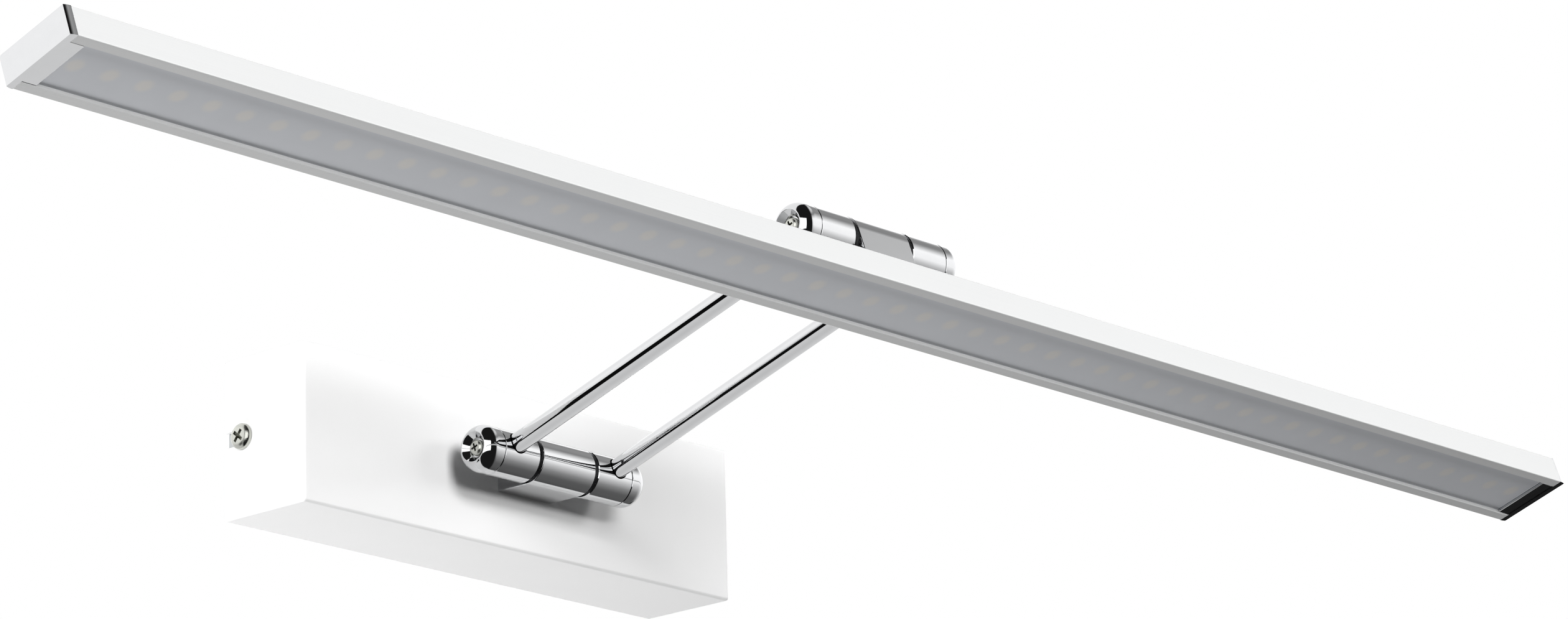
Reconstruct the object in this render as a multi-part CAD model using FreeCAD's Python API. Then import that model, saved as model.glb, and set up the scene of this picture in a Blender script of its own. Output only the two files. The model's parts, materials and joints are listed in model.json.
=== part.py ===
import FreeCAD, Part
import math
import os

# Wall picture light: a wall box, a two-rod arm with a friction hinge at each end, and a slim LED bar.
# Millimetres. +X is to the right, +Y runs into the wall, +Z is up.
# The origin is the middle of the box's open rear face, which lies flat on the wall.

os.makedirs("parts", exist_ok=True)
V = FreeCAD.Vector

# ---- driving dimensions ---------------------------------------------------------------------------

# wall box
BOX_WIDTH = 170.0
BOX_HEIGHT = 45.0
BOX_DEPTH = 31.0
BOX_WALL = 1.2
BOX_EDGE_RADIUS = 0.9

# hinges, the same hardware at both ends of the arm
BARREL_RADIUS = 6.75
AXIS_TO_FACE = 11.3
KNUCKLE_HALF = 10.4
SWIVEL_INNER = 11.8
SWIVEL_OUTER = 25.4
CAP_TIP = 32.0
CAP_DOME_RADIUS = 4.0
CAP_RIM_RADIUS = 4.15
CAP_SEAT = 29.6
CAP_SEAT_RADIUS = 2.7
GROOVE_CHAMFER = 0.22
AXLE_RADIUS = 3.0
AXLE_BORE_RADIUS = 1.5
AXLE_HALF = 27.6
RUNNING_CLEARANCE = 0.06
WASHER_RADIUS = 5.7
WASHER_GAP = 0.1
CHAMBER_RADIUS = 4.8
CHAMBER_HALF = 4.6
FOOT_BORE_RADIUS = 2.25
FOOT_SCREW_X = 7.2
FOOT_SCREW_DEPTH = 4.6

# arm
ARM_LENGTH = 123.0
ARM_RISE_DEG = 17.9
ROD_X = 20.1
ROD_RADIUS = 2.85
ROD_BORE_RADIUS = 1.85
ROD_END_FROM_AXIS = 3.9
ROD_LEAD_HOLE_RADIUS = 1.7

# LED bar
HEAD_LENGTH = 600.0
HEAD_WIDTH = 24.0
HEAD_HEIGHT = 8.4
HEAD_TILT_DEG = 18.6
PROFILE_WALL = 1.3
PROFILE_WEB = 1.6
LIP_WIDTH = 3.1
LIP_THICKNESS = 1.0
LIP_BEVEL = 0.45
PROFILE_EDGE_RADIUS = 0.35
DIFFUSER_THICKNESS = 1.6
END_PLATE = 2.2
END_TONGUE = 4.8
END_EDGE_RADIUS = 0.8
BOARD_WIDTH = 12.0
BOARD_THICKNESS = 1.0
LED_COUNT = 54
LED_PITCH = 10.87
LED_SIZE = 2.8
LED_HEIGHT = 0.7

# wall plate and what it carries
PLATE_THICKNESS = 1.5
PLATE_HEIGHT = 38.0
PLATE_HALF = 83.4
TAB_DEPTH = 13.0
TAB_HEIGHT = 20.0
SIDE_SCREW_Y = -7.0
SIDE_SCREW_RADIUS = 2.0
NOTCH_HALF = 2.2
WALL_SLOT_X = 66.0
WALL_SLOT_RADIUS = 2.5
WALL_SLOT_TRAVEL = 6.0
ENTRY_X = 8.0
ENTRY_RADIUS = 6.0
CLAMP_X = 21.5
CLAMP_SCREW_Z = 8.0
CLAMP_DEPTH = 6.5
TERMINAL_X = 30.0
TERMINAL_WAYS = 3
TERMINAL_PITCH = 8.6
TERMINAL_WIDTH = 17.0
TERMINAL_HEIGHT = 13.0
EARTH_X = -12.0
EARTH_Z = 11.0
BACKING_THICKNESS = 2.0

# driver, stuck to the inside of the box front
DRIVER_X0 = -79.0
DRIVER_X1 = -17.0
DRIVER_HALF_HEIGHT = 16.5
DRIVER_DEPTH = 17.0
DRIVER_WALL = 1.4
PAD_THICKNESS = 1.0

# leads
MAINS_LEAD_RADIUS = 1.1
OUTPUT_LEAD_RADIUS = 0.65
FIT_GAP = 0.1

# ---- places worked out from the dimensions ----------------------------------------------------------

ARM_RISE = math.radians(ARM_RISE_DEG)
HEAD_TILT = math.radians(HEAD_TILT_DEG)
BOX_FRONT_Y = -BOX_DEPTH
ARM_DIRECTION = V(0, -math.cos(ARM_RISE), math.sin(ARM_RISE))
LOWER_AXIS = V(0, BOX_FRONT_Y - AXIS_TO_FACE, 0)
UPPER_AXIS = LOWER_AXIS + ARM_DIRECTION * ARM_LENGTH
HEAD_UP = V(0, math.sin(HEAD_TILT), math.cos(HEAD_TILT))
HEAD_TOP = UPPER_AXIS - HEAD_UP * AXIS_TO_FACE
INNER_FRONT_Y = BOX_FRONT_Y + BOX_WALL


# ---- helpers ------------------------------------------------------------------------------------------

def block(x0, x1, y0, y1, z0, z1):
    return Part.makeBox(x1 - x0, y1 - y0, z1 - z0, V(x0, y0, z0))


def rod(radius, start, end):
    along = end - start
    return Part.makeCylinder(radius, along.Length, start, along)


def ring(outer, inner, start, end):
    return rod(outer, start, end).cut(rod(inner, start, end))


def turned_x(outline):
    """A solid of revolution about X from (x, radius) points."""
    points = [V(x, radius, 0) for x, radius in outline]
    face = Part.Face(Part.makePolygon(points + points[:1]))
    return face.revolve(V(0, 0, 0), V(1, 0, 0), 360)


def joined(shapes):
    result = shapes[0]
    for shape in shapes[1:]:
        result = result.fuse(shape)
    return result.removeSplitter()


def cut_all(shape, tools):
    for tool in tools:
        shape = shape.cut(tool)
    return shape


def edges_along(shape, direction, test):
    """The straight edges along a direction whose middle passes a test."""
    found = []
    for edge in shape.Edges:
        if edge.Curve.TypeId != "Part::GeomLine":
            continue
        along = edge.Vertexes[-1].Point - edge.Vertexes[0].Point
        if along.Length > 0 and abs(abs(along.normalize().dot(direction)) - 1) < 1e-6:
            if test(edge.CenterOfMass):
                found.append(edge)
    return found


def mirrored(shape):
    """The same piece on the other side of the YZ plane."""
    return shape.mirror(V(0, 0, 0), V(1, 0, 0))


def both_sides(shape):
    return [shape, mirrored(shape)]


def placed(shape, angle_deg, origin):
    """Turn a piece about X, then move it to its place."""
    copy = shape.copy()
    copy.rotate(V(0, 0, 0), V(1, 0, 0), angle_deg)
    copy.translate(origin)
    return copy


def pan_screw(radius, length, head_radius, head_height):
    """A pan-head cross-recess screw along +X, with the underside of its head at x = 0."""
    head = Part.makeCylinder(head_radius, head_height, V(-head_height, 0, 0), V(1, 0, 0))
    rim = [edge for edge in head.Edges if abs(edge.CenterOfMass.x + head_height) < 1e-6]
    head = head.makeFillet(head_height * 0.6, rim)
    shank = rod(radius, V(0, 0, 0), V(length, 0, 0))
    tip = [edge for edge in shank.Edges if abs(edge.CenterOfMass.x - length) < 1e-6]
    shank = shank.makeChamfer(radius * 0.3, tip)
    return head.fuse(shank).cut(cross_recess(head_radius * 0.62, head_height * 0.6, -head_height))


def cross_recess(reach, depth, x_face):
    """The tapered cross that a driver turns, sunk along +X from a face at x_face."""
    width = reach * 0.32
    wings = joined([
        block(x_face - 1, x_face + depth, -reach, reach, -width / 2, width / 2),
        block(x_face - 1, x_face + depth, -width / 2, width / 2, -reach, reach),
    ])
    taper = Part.makeCone(reach * 1.25, reach * 0.25, depth + 1, V(x_face - 1, 0, 0), V(1, 0, 0))
    return wings.common(taper)


def countersunk_screw(radius, length, head_radius, head_height):
    """A countersunk screw along +X, with the flat of its head at x = 0."""
    head = Part.makeCone(head_radius, radius, head_height, V(0, 0, 0), V(1, 0, 0))
    shank = rod(radius, V(head_height, 0, 0), V(length, 0, 0))
    return head.fuse(shank).cut(cross_recess(head_radius * 0.55, head_height * 0.7, 0))


def bend_radius(before, corner, after, largest):
    run_in = corner - before
    run_out = after - corner
    turn = run_in.getAngle(run_out)
    shorter = min(run_in.Length, run_out.Length)
    return min(largest, 0.45 * shorter / math.tan(turn / 2))


def lead(points, radius, largest_bend):
    """A round lead: straight runs joined by tangent arcs, as large as the runs allow."""
    edges = []
    start = points[0]
    for before, corner, after in zip(points, points[1:], points[2:]):
        to_before = (before - corner).normalize()
        to_after = (after - corner).normalize()
        bend = bend_radius(before, corner, after, largest_bend)
        half = to_before.getAngle(to_after) / 2
        tangent_length = bend / math.tan(half)
        arc_start = corner + to_before * tangent_length
        arc_end = corner + to_after * tangent_length
        bisector = (to_before + to_after).normalize()
        arc_middle = corner + bisector * (bend / math.sin(half) - bend)
        edges.append(Part.LineSegment(start, arc_start).toShape())
        edges.append(Part.Arc(arc_start, arc_middle, arc_end).toShape())
        start = arc_end
    edges.append(Part.LineSegment(start, points[-1]).toShape())
    path = Part.Wire(edges)
    section = Part.Wire(Part.makeCircle(radius, points[0], points[1] - points[0]))
    return path.makePipeShell([section], True, False)


# ---- hinge hardware, modelled with its axis on X and its foot towards +Y --------------------------------

def knuckle():
    """The middle of a hinge: a barrel with a flat-sided foot, bored for the axle and the leads."""
    half = KNUCKLE_HALF
    radius = BARREL_RADIUS
    body = joined([
        rod(radius, V(-half, 0, 0), V(half, 0, 0)),
        block(-half, half, 0, AXIS_TO_FACE, -radius, radius),
    ])
    bore_radius = AXLE_RADIUS + RUNNING_CLEARANCE
    screw_start = AXIS_TO_FACE - FOOT_SCREW_DEPTH
    tools = [
        rod(bore_radius, V(-half - 1, 0, 0), V(half + 1, 0, 0)),
        rod(CHAMBER_RADIUS, V(-CHAMBER_HALF, 0, 0), V(CHAMBER_HALF, 0, 0)),
        rod(FOOT_BORE_RADIUS, V(0, 0, 0), V(0, AXIS_TO_FACE + 1, 0)),
    ]
    tools += both_sides(rod(1.5, V(FOOT_SCREW_X, screw_start, 0), V(FOOT_SCREW_X, AXIS_TO_FACE + 1, 0)))
    return cut_all(body, tools)


def axle():
    """A hollow axle with a lead window over the foot."""
    tube = ring(AXLE_RADIUS, AXLE_BORE_RADIUS, V(-AXLE_HALF, 0, 0), V(AXLE_HALF, 0, 0))
    window = block(-3.6, 3.6, 0.6, AXLE_RADIUS + 1, -AXLE_RADIUS - 1, AXLE_RADIUS + 1)
    return tube.cut(window)


def axle_with_rod_holes(rod_angle_deg):
    """The axle with a lead hole facing each rod, at an angle about X measured from its window."""
    hole = rod(ROD_LEAD_HOLE_RADIUS, V(ROD_X, 0, 0), V(ROD_X, -AXLE_RADIUS - 1, 0))
    hole.rotate(V(0, 0, 0), V(1, 0, 0), rod_angle_deg)
    return cut_all(axle(), both_sides(hole))


def swivel():
    """The right-hand swivel barrel, with its rod socket towards -Y."""
    chamfer = GROOVE_CHAMFER
    outline = [
        (SWIVEL_INNER, AXLE_RADIUS),
        (SWIVEL_INNER, BARREL_RADIUS - chamfer),
        (SWIVEL_INNER + chamfer, BARREL_RADIUS),
        (SWIVEL_OUTER - chamfer, BARREL_RADIUS),
        (SWIVEL_OUTER, BARREL_RADIUS - chamfer),
        (SWIVEL_OUTER, AXLE_RADIUS),
    ]
    socket = rod(ROD_RADIUS, V(ROD_X, -ROD_END_FROM_AXIS, 0), V(ROD_X, -BARREL_RADIUS - 1, 0))
    lead_hole = rod(ROD_LEAD_HOLE_RADIUS, V(ROD_X, 0, 0), V(ROD_X, -BARREL_RADIUS, 0))
    return cut_all(turned_x(outline), [socket, lead_hole])


def end_cap():
    """The right-hand cap: a dome with a conical recess for the screw head, hollow for the axle's end."""
    dome_start = CAP_TIP - CAP_DOME_RADIUS
    ring_radius = BARREL_RADIUS - CAP_DOME_RADIUS
    rim_height = CAP_RIM_RADIUS - ring_radius
    rim_x = dome_start + math.sqrt(CAP_DOME_RADIUS ** 2 - rim_height ** 2)
    arc_angle = math.atan2(rim_height, rim_x - dome_start)
    middle_angle = (math.pi / 2 + arc_angle) / 2
    arc_middle = V(dome_start + CAP_DOME_RADIUS * math.cos(middle_angle),
                   ring_radius + CAP_DOME_RADIUS * math.sin(middle_angle), 0)
    chamfer = GROOVE_CHAMFER
    screw_hole = 1.5
    corners = [
        V(rim_x, CAP_RIM_RADIUS, 0),
        V(CAP_SEAT, CAP_SEAT_RADIUS, 0),
        V(CAP_SEAT, screw_hole, 0),
        V(AXLE_HALF, screw_hole, 0),
        V(AXLE_HALF, AXLE_RADIUS, 0),
        V(SWIVEL_OUTER, AXLE_RADIUS, 0),
        V(SWIVEL_OUTER, BARREL_RADIUS - chamfer, 0),
        V(SWIVEL_OUTER + chamfer, BARREL_RADIUS, 0),
        V(dome_start, BARREL_RADIUS, 0),
    ]
    edges = [Part.LineSegment(a, b).toShape() for a, b in zip(corners, corners[1:])]
    edges.append(Part.Arc(corners[-1], arc_middle, corners[0]).toShape())
    return Part.Face(Part.Wire(edges)).revolve(V(0, 0, 0), V(1, 0, 0), 360)


def cap_screws():
    """One screw for each end of the axle."""
    screw = pan_screw(AXLE_BORE_RADIUS, 7.0, 2.3, 1.5)
    screw.translate(V(-CAP_SEAT, 0, 0))
    return both_sides(screw)


def friction_washers():
    start = V(KNUCKLE_HALF + WASHER_GAP, 0, 0)
    end = V(SWIVEL_INNER, 0, 0)
    return both_sides(ring(WASHER_RADIUS, AXLE_RADIUS, start, end))


def foot_screws(grip, head):
    """Two screws up into a foot's threads from the far side of what it stands on."""
    screws = []
    for side in (-1, 1):
        screw = head.copy()
        screw.rotate(V(0, 0, 0), V(0, 0, 1), -90)
        screw.translate(V(side * FOOT_SCREW_X, AXIS_TO_FACE + grip, 0))
        screws.append(screw)
    return screws


# ---- wall box ---------------------------------------------------------------------------------------------

def cover_box():
    """The folded and welded steel cover, open at the wall, notched at both ends for the side screws."""
    half_x = BOX_WIDTH / 2
    half_z = BOX_HEIGHT / 2
    outer = block(-half_x, half_x, BOX_FRONT_Y, 0, -half_z, half_z)
    rounded = [edge for edge in outer.Edges if edge.CenterOfMass.y < -1e-6]
    outer = outer.makeFillet(BOX_EDGE_RADIUS, rounded)
    inner = block(-half_x + BOX_WALL, half_x - BOX_WALL, INNER_FRONT_Y, 1, -half_z + BOX_WALL, half_z - BOX_WALL)
    tools = [inner]
    notch = joined([
        rod(NOTCH_HALF, V(half_x - 3, SIDE_SCREW_Y, 0), V(half_x + 1, SIDE_SCREW_Y, 0)),
        block(half_x - 3, half_x + 1, SIDE_SCREW_Y, 1, -NOTCH_HALF, NOTCH_HALF),
    ])
    tools += both_sides(notch)
    screw_hole = rod(1.7, V(FOOT_SCREW_X, BOX_FRONT_Y - 1, 0), V(FOOT_SCREW_X, INNER_FRONT_Y + 1, 0))
    tools += both_sides(screw_hole)
    tools.append(rod(FOOT_BORE_RADIUS + 0.8, V(0, BOX_FRONT_Y - 1, 0), V(0, INNER_FRONT_Y + 1, 0)))
    return cut_all(outer, tools)


def slot_through_plate(x):
    half = WALL_SLOT_TRAVEL / 2
    return joined([
        rod(WALL_SLOT_RADIUS, V(x - half, -PLATE_THICKNESS - 1, 0), V(x - half, 1, 0)),
        rod(WALL_SLOT_RADIUS, V(x + half, -PLATE_THICKNESS - 1, 0), V(x + half, 1, 0)),
        block(x - half, x + half, -PLATE_THICKNESS - 1, 1, -WALL_SLOT_RADIUS, WALL_SLOT_RADIUS),
    ])


def hole_through_plate(x, z, radius):
    return rod(radius, V(x, -PLATE_THICKNESS - 1, z), V(x, 1, z))


def wall_plate():
    """The flat plate that is screwed to the wall, with a bent tab at each end for a side screw."""
    half_z = PLATE_HEIGHT / 2
    tab = block(PLATE_HALF - PLATE_THICKNESS, PLATE_HALF, -TAB_DEPTH, 0, -TAB_HEIGHT / 2, TAB_HEIGHT / 2)
    body = joined([block(-PLATE_HALF, PLATE_HALF, -PLATE_THICKNESS, 0, -half_z, half_z)] + both_sides(tab))
    screw_hole = rod(SIDE_SCREW_RADIUS, V(PLATE_HALF - 3, SIDE_SCREW_Y, 0), V(PLATE_HALF + 1, SIDE_SCREW_Y, 0))
    tools = both_sides(screw_hole)
    tools += [slot_through_plate(WALL_SLOT_X), slot_through_plate(-WALL_SLOT_X)]
    tools.append(hole_through_plate(ENTRY_X, 0, ENTRY_RADIUS))
    tools.append(hole_through_plate(EARTH_X, EARTH_Z, 2.0))
    tools += [hole_through_plate(CLAMP_X, side * CLAMP_SCREW_Z, 1.5) for side in (-1, 1)]
    tools.append(hole_through_plate(terminal_screw_x(), 0, 1.1))
    return cut_all(body, tools)


def cover_screws():
    screw = pan_screw(SIDE_SCREW_RADIUS, 8.0, 3.65, 2.5)
    screw.translate(V(-BOX_WIDTH / 2, SIDE_SCREW_Y, 0))
    return both_sides(screw)


def hexagon_nut(across_flats, thickness, hole_radius):
    """A nut along X with one face at x = 0, and its body towards +X."""
    corner_radius = across_flats / math.sqrt(3)
    corners = []
    for step in range(7):
        angle = math.radians(60 * step)
        corners.append(V(0, corner_radius * math.cos(angle), corner_radius * math.sin(angle)))
    body = Part.Face(Part.makePolygon(corners)).extrude(V(thickness, 0, 0))
    crown = Part.makeCone(corner_radius + thickness - 0.6, corner_radius - 0.6, thickness, V(0, 0, 0), V(1, 0, 0))
    return body.common(crown).cut(rod(hole_radius, V(-1, 0, 0), V(thickness + 1, 0, 0)))


def plate_nuts():
    """The nuts pressed into the end tabs, which take the side screws."""
    nut = hexagon_nut(7.0, 3.0, SIDE_SCREW_RADIUS)
    nut.translate(V(-PLATE_HALF + PLATE_THICKNESS, SIDE_SCREW_Y, 0))
    return both_sides(nut)


def cable_grommet():
    """The rubber ring that lines the cable entry."""
    flange = ring(ENTRY_RADIUS + 1.8, ENTRY_RADIUS - 1.4, V(0, -PLATE_THICKNESS - 1.2, 0), V(0, -PLATE_THICKNESS, 0))
    sleeve = ring(ENTRY_RADIUS, ENTRY_RADIUS - 1.4, V(0, -PLATE_THICKNESS, 0), V(0, -0.2, 0))
    body = joined([flange, sleeve])
    body.translate(V(ENTRY_X, 0, 0))
    return body


def cord_clamp():
    """A saddle that holds the supply cable against the plate."""
    half_z = CLAMP_SCREW_Z + 3.5
    body = block(CLAMP_X - 3.5, CLAMP_X + 3.5, -PLATE_THICKNESS - CLAMP_DEPTH, -PLATE_THICKNESS, -half_z, half_z)
    body = body.makeFillet(1.5, edges_along(body, V(1, 0, 0), lambda middle: middle.y < -PLATE_THICKNESS - 1))
    cable = rod(3.6, V(CLAMP_X - 5, -PLATE_THICKNESS - 1.2, 0), V(CLAMP_X + 5, -PLATE_THICKNESS - 1.2, 0))
    holes = []
    for side in (-1, 1):
        z = side * CLAMP_SCREW_Z
        holes.append(rod(1.6, V(CLAMP_X, -PLATE_THICKNESS - 8, z), V(CLAMP_X, 1, z)))
    return cut_all(body, [cable] + holes)


def plate_screw(screw, x, y_seat, z):
    """A screw into the plate, pointing at the wall, with its head on y_seat."""
    screw.rotate(V(0, 0, 0), V(0, 0, 1), 90)
    screw.translate(V(x, y_seat, z))
    return screw


def cord_clamp_screws():
    seat = -PLATE_THICKNESS - CLAMP_DEPTH
    return [plate_screw(pan_screw(1.5, 7.6, 2.75, 1.9), CLAMP_X, seat, side * CLAMP_SCREW_Z) for side in (-1, 1)]


def terminal_way_x(way):
    return TERMINAL_X + TERMINAL_PITCH * (way + 0.5)


def terminal_screw_x():
    return TERMINAL_X + TERMINAL_PITCH * TERMINAL_WAYS / 2 + TERMINAL_PITCH / 2


def terminal_well(way, side):
    """The place of a terminal screw, at one end of a way."""
    return V(terminal_way_x(way), 0, side * TERMINAL_WIDTH * 0.27)


def terminal_block():
    """The insulating block, with a through passage for each way and a well over each screw."""
    front = -PLATE_THICKNESS - TERMINAL_HEIGHT
    half_z = TERMINAL_WIDTH / 2
    x_end = TERMINAL_X + TERMINAL_PITCH * TERMINAL_WAYS
    base = block(TERMINAL_X, x_end, -PLATE_THICKNESS - 6.0, -PLATE_THICKNESS, -half_z, half_z)
    towers = []
    tools = []
    for way in range(TERMINAL_WAYS):
        x = terminal_way_x(way)
        towers.append(block(x - 3.4, x + 3.4, front, -PLATE_THICKNESS - 5.5, -half_z, half_z))
        axis_y = -PLATE_THICKNESS - 6.5
        tools.append(rod(2.2, V(x, axis_y, -half_z - 1), V(x, axis_y, half_z + 1)))
        for side in (-1, 1):
            z = terminal_well(way, side).z
            tools.append(rod(1.9, V(x, front - 1, z), V(x, axis_y, z)))
    x = terminal_screw_x()
    tools.append(rod(1.15, V(x, front - 1, 0), V(x, 1, 0)))
    tools.append(rod(2.05, V(x, front - 1, 0), V(x, -PLATE_THICKNESS - 4.0, 0)))
    return cut_all(joined([base] + towers), tools)


def terminal_sleeves():
    """The brass sleeve in each way, where two conductors meet."""
    sleeves = []
    half_z = TERMINAL_WIDTH / 2 - 1.5
    axis_y = -PLATE_THICKNESS - 6.5
    for way in range(TERMINAL_WAYS):
        x = terminal_way_x(way)
        tube = ring(2.2, 1.4, V(x, axis_y, -half_z), V(x, axis_y, half_z))
        threads = [rod(1.3, V(x, axis_y - 4, terminal_well(way, side).z), V(x, axis_y, terminal_well(way, side).z))
                   for side in (-1, 1)]
        sleeves.append(cut_all(tube, threads))
    return sleeves


def terminal_screws():
    """The six clamping screws, slotted, each standing in its well."""
    screws = []
    axis_y = -PLATE_THICKNESS - 6.5
    for way in range(TERMINAL_WAYS):
        for side in (-1, 1):
            place = terminal_well(way, side)
            top = V(place.x, axis_y - 4.9, place.z)
            body = joined([
                rod(1.3, top, V(place.x, axis_y - 0.9, place.z)),
                rod(1.7, top, top + V(0, 1.6, 0)),
            ])
            slot = block(top.x - 2, top.x + 2, top.y - 1, top.y + 0.8, top.z - 0.25, top.z + 0.25)
            screws.append(body.cut(slot))
    return screws


def terminal_fixing_screw():
    return plate_screw(pan_screw(1.1, 5.2, 1.95, 1.3), terminal_screw_x(), -PLATE_THICKNESS - 4.0, 0)


def earth_stud():
    """The stud pressed into the plate for the protective conductor."""
    flange = rod(3.0, V(EARTH_X, -PLATE_THICKNESS - 0.8, EARTH_Z), V(EARTH_X, -PLATE_THICKNESS, EARTH_Z))
    stem = rod(2.0, V(EARTH_X, -PLATE_THICKNESS - 9.0, EARTH_Z), V(EARTH_X, -0.1, EARTH_Z))
    return joined([flange, stem])


def earth_nuts():
    """Two nuts that clamp the earth tag between them."""
    nuts = []
    for seat in (PLATE_THICKNESS + 0.8, PLATE_THICKNESS + 4.8):
        nut = hexagon_nut(7.0, 2.6, 2.0)
        nut.rotate(V(0, 0, 0), V(0, 0, 1), -90)
        nut.translate(V(EARTH_X, -seat, EARTH_Z))
        nuts.append(nut)
    return nuts


def earth_washer():
    y = -PLATE_THICKNESS - 3.6
    return ring(4.0, 2.0, V(EARTH_X, y - 0.9, EARTH_Z), V(EARTH_X, y - 0.1, EARTH_Z))


def backing_plate():
    """The steel plate behind the box front that spreads the arm's load."""
    body = block(-13, 13, INNER_FRONT_Y, INNER_FRONT_Y + BACKING_THICKNESS, -9.5, 9.5)
    body = body.makeFillet(2.0, edges_along(body, V(0, 1, 0), lambda middle: True))
    start = INNER_FRONT_Y - 1
    end = INNER_FRONT_Y + BACKING_THICKNESS + 1
    tools = both_sides(rod(1.7, V(FOOT_SCREW_X, start, 0), V(FOOT_SCREW_X, end, 0)))
    tools.append(rod(FOOT_BORE_RADIUS + 0.8, V(0, start, 0), V(0, end, 0)))
    return cut_all(body, tools)


def lead_bush():
    """The plastic bush that guards the leads where they leave the box."""
    front = BOX_FRONT_Y + 0.2
    back = INNER_FRONT_Y + BACKING_THICKNESS
    sleeve = ring(FOOT_BORE_RADIUS + 0.8, FOOT_BORE_RADIUS - 0.3, V(0, front, 0), V(0, back, 0))
    flange = ring(4.2, FOOT_BORE_RADIUS - 0.3, V(0, back, 0), V(0, back + 0.9, 0))
    return joined([sleeve, flange])


def driver_front_y():
    return INNER_FRONT_Y + PAD_THICKNESS


def driver_pad():
    return block(DRIVER_X0 + 6, DRIVER_X1 - 6, INNER_FRONT_Y, driver_front_y(), -9, 9)


def driver_case():
    """The driver's moulded tray, open towards the wall."""
    front = driver_front_y()
    back = front + DRIVER_DEPTH - DRIVER_WALL
    half = DRIVER_HALF_HEIGHT
    outer = block(DRIVER_X0, DRIVER_X1, front, back, -half, half)
    outer = outer.makeFillet(1.0, [edge for edge in outer.Edges if edge.CenterOfMass.y < back - 1e-6])
    wall = DRIVER_WALL
    inner = block(DRIVER_X0 + wall, DRIVER_X1 - wall, front + wall, back + 1, -half + wall, half - wall)
    tools = [inner]
    for z, radius in driver_lead_places():
        tools.append(rod(radius + 0.2, V(DRIVER_X1 - 3, driver_lead_y(), z), V(DRIVER_X1 + 1, driver_lead_y(), z)))
    return cut_all(outer, tools)


def driver_lead_y():
    return driver_front_y() + DRIVER_DEPTH * 0.6


def driver_lead_places():
    """Height and radius of the four leads at the driver's end: two mains, then two output."""
    return [(12.0, MAINS_LEAD_RADIUS), (8.0, MAINS_LEAD_RADIUS), (-8.0, OUTPUT_LEAD_RADIUS), (-11.0, OUTPUT_LEAD_RADIUS)]


def driver_lid():
    """The lid that closes the driver, with a lip inside the tray."""
    back = driver_front_y() + DRIVER_DEPTH
    wall = DRIVER_WALL
    half = DRIVER_HALF_HEIGHT
    plate = block(DRIVER_X0, DRIVER_X1, back - wall, back, -half, half)
    plate = plate.makeFillet(0.6, [edge for edge in plate.Edges if edge.CenterOfMass.y > back - 1e-6])
    inset = wall + FIT_GAP
    lip = block(DRIVER_X0 + inset, DRIVER_X1 - inset, back - wall - 1.5, back - wall, -half + inset, half - inset)
    hollow = block(DRIVER_X0 + inset + 1, DRIVER_X1 - inset - 1, back - wall - 2, back - wall,
                   -half + inset + 1, half - inset - 1)
    return joined([plate, lip.cut(hollow)])


def driver_board():
    """The driver's circuit board with its transformer, capacitors and choke."""
    front = driver_front_y() + DRIVER_WALL + 1.5
    inset = DRIVER_WALL + 1.0
    half = DRIVER_HALF_HEIGHT - inset
    parts = [block(DRIVER_X0 + inset, DRIVER_X1 - inset, front, front + 1.2, -half, half)]
    top = front + 1.2
    parts.append(block(DRIVER_X0 + 22, DRIVER_X0 + 37, top, top + 7.5, -8, 8))
    for x, radius in ((DRIVER_X0 + 12, 4.0), (DRIVER_X0 + 45, 3.2)):
        parts.append(rod(radius, V(x, top, 5), V(x, top + 7.5, 5)))
    parts.append(rod(3.0, V(DRIVER_X0 + 45, top, -5), V(DRIVER_X0 + 45, top + 6, -5)))
    return joined(parts)


def mains_leads():
    """Two leads from the terminal block to the driver."""
    leads = []
    lead_y = driver_lead_y()
    axis_y = -PLATE_THICKNESS - 6.5
    for way in range(2):
        z_driver = driver_lead_places()[way][0]
        x_way = terminal_way_x(way)
        z_top = TERMINAL_WIDTH / 2
        z_run = z_driver + 4.5
        points = [
            V(DRIVER_X1 - DRIVER_WALL, lead_y, z_driver),
            V(DRIVER_X1 + 9, lead_y, z_driver + 0.6),
            V(4 + way, lead_y + 3.0, z_run),
            V(x_way - 7, axis_y - 1.2, z_run + 0.4),
            V(x_way, axis_y, z_top + 6 - 3 * way),
            V(x_way, axis_y, z_top - 1.5),
        ]
        leads.append(lead(points, MAINS_LEAD_RADIUS, 8.0))
    return leads


def output_leads():
    """Two low-voltage leads from the driver through the box front into the lower hinge."""
    leads = []
    for index, side in ((2, -1), (3, 1)):
        z_driver = driver_lead_places()[index][0]
        x_bore = side * 0.8
        points = [
            V(DRIVER_X1 - DRIVER_WALL, driver_lead_y(), z_driver),
            V(DRIVER_X1 + 6, driver_lead_y(), z_driver),
            V(x_bore - 4.5, driver_lead_y() + 1.2, z_driver * 0.45),
            V(x_bore, driver_lead_y() - 2.4, 0),
            V(x_bore, LOWER_AXIS.y + AXLE_RADIUS + 0.7, 0),
        ]
        leads.append(lead(points, OUTPUT_LEAD_RADIUS, 6.0))
    return leads


# ---- arm ----------------------------------------------------------------------------------------------------

def arm_rod():
    """The right-hand tube, from socket to socket."""
    start = LOWER_AXIS + ARM_DIRECTION * ROD_END_FROM_AXIS + V(ROD_X, 0, 0)
    end = UPPER_AXIS - ARM_DIRECTION * ROD_END_FROM_AXIS + V(ROD_X, 0, 0)
    return ring(ROD_RADIUS, ROD_BORE_RADIUS, start, end)


def arm_leads():
    """One lead in each rod, between the lead windows of the two axles."""
    start_x = 1.2
    bend = 1.9
    points = [
        LOWER_AXIS + V(start_x, 0, 0),
        LOWER_AXIS + V(ROD_X, 0, 0),
        UPPER_AXIS + V(ROD_X, 0, 0),
        UPPER_AXIS + V(start_x, 0, 0),
    ]
    return both_sides(lead(points, OUTPUT_LEAD_RADIUS, bend))


# ---- LED bar, modelled with its top face on z = 0 and +Y towards the wall -----------------------------------------

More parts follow.
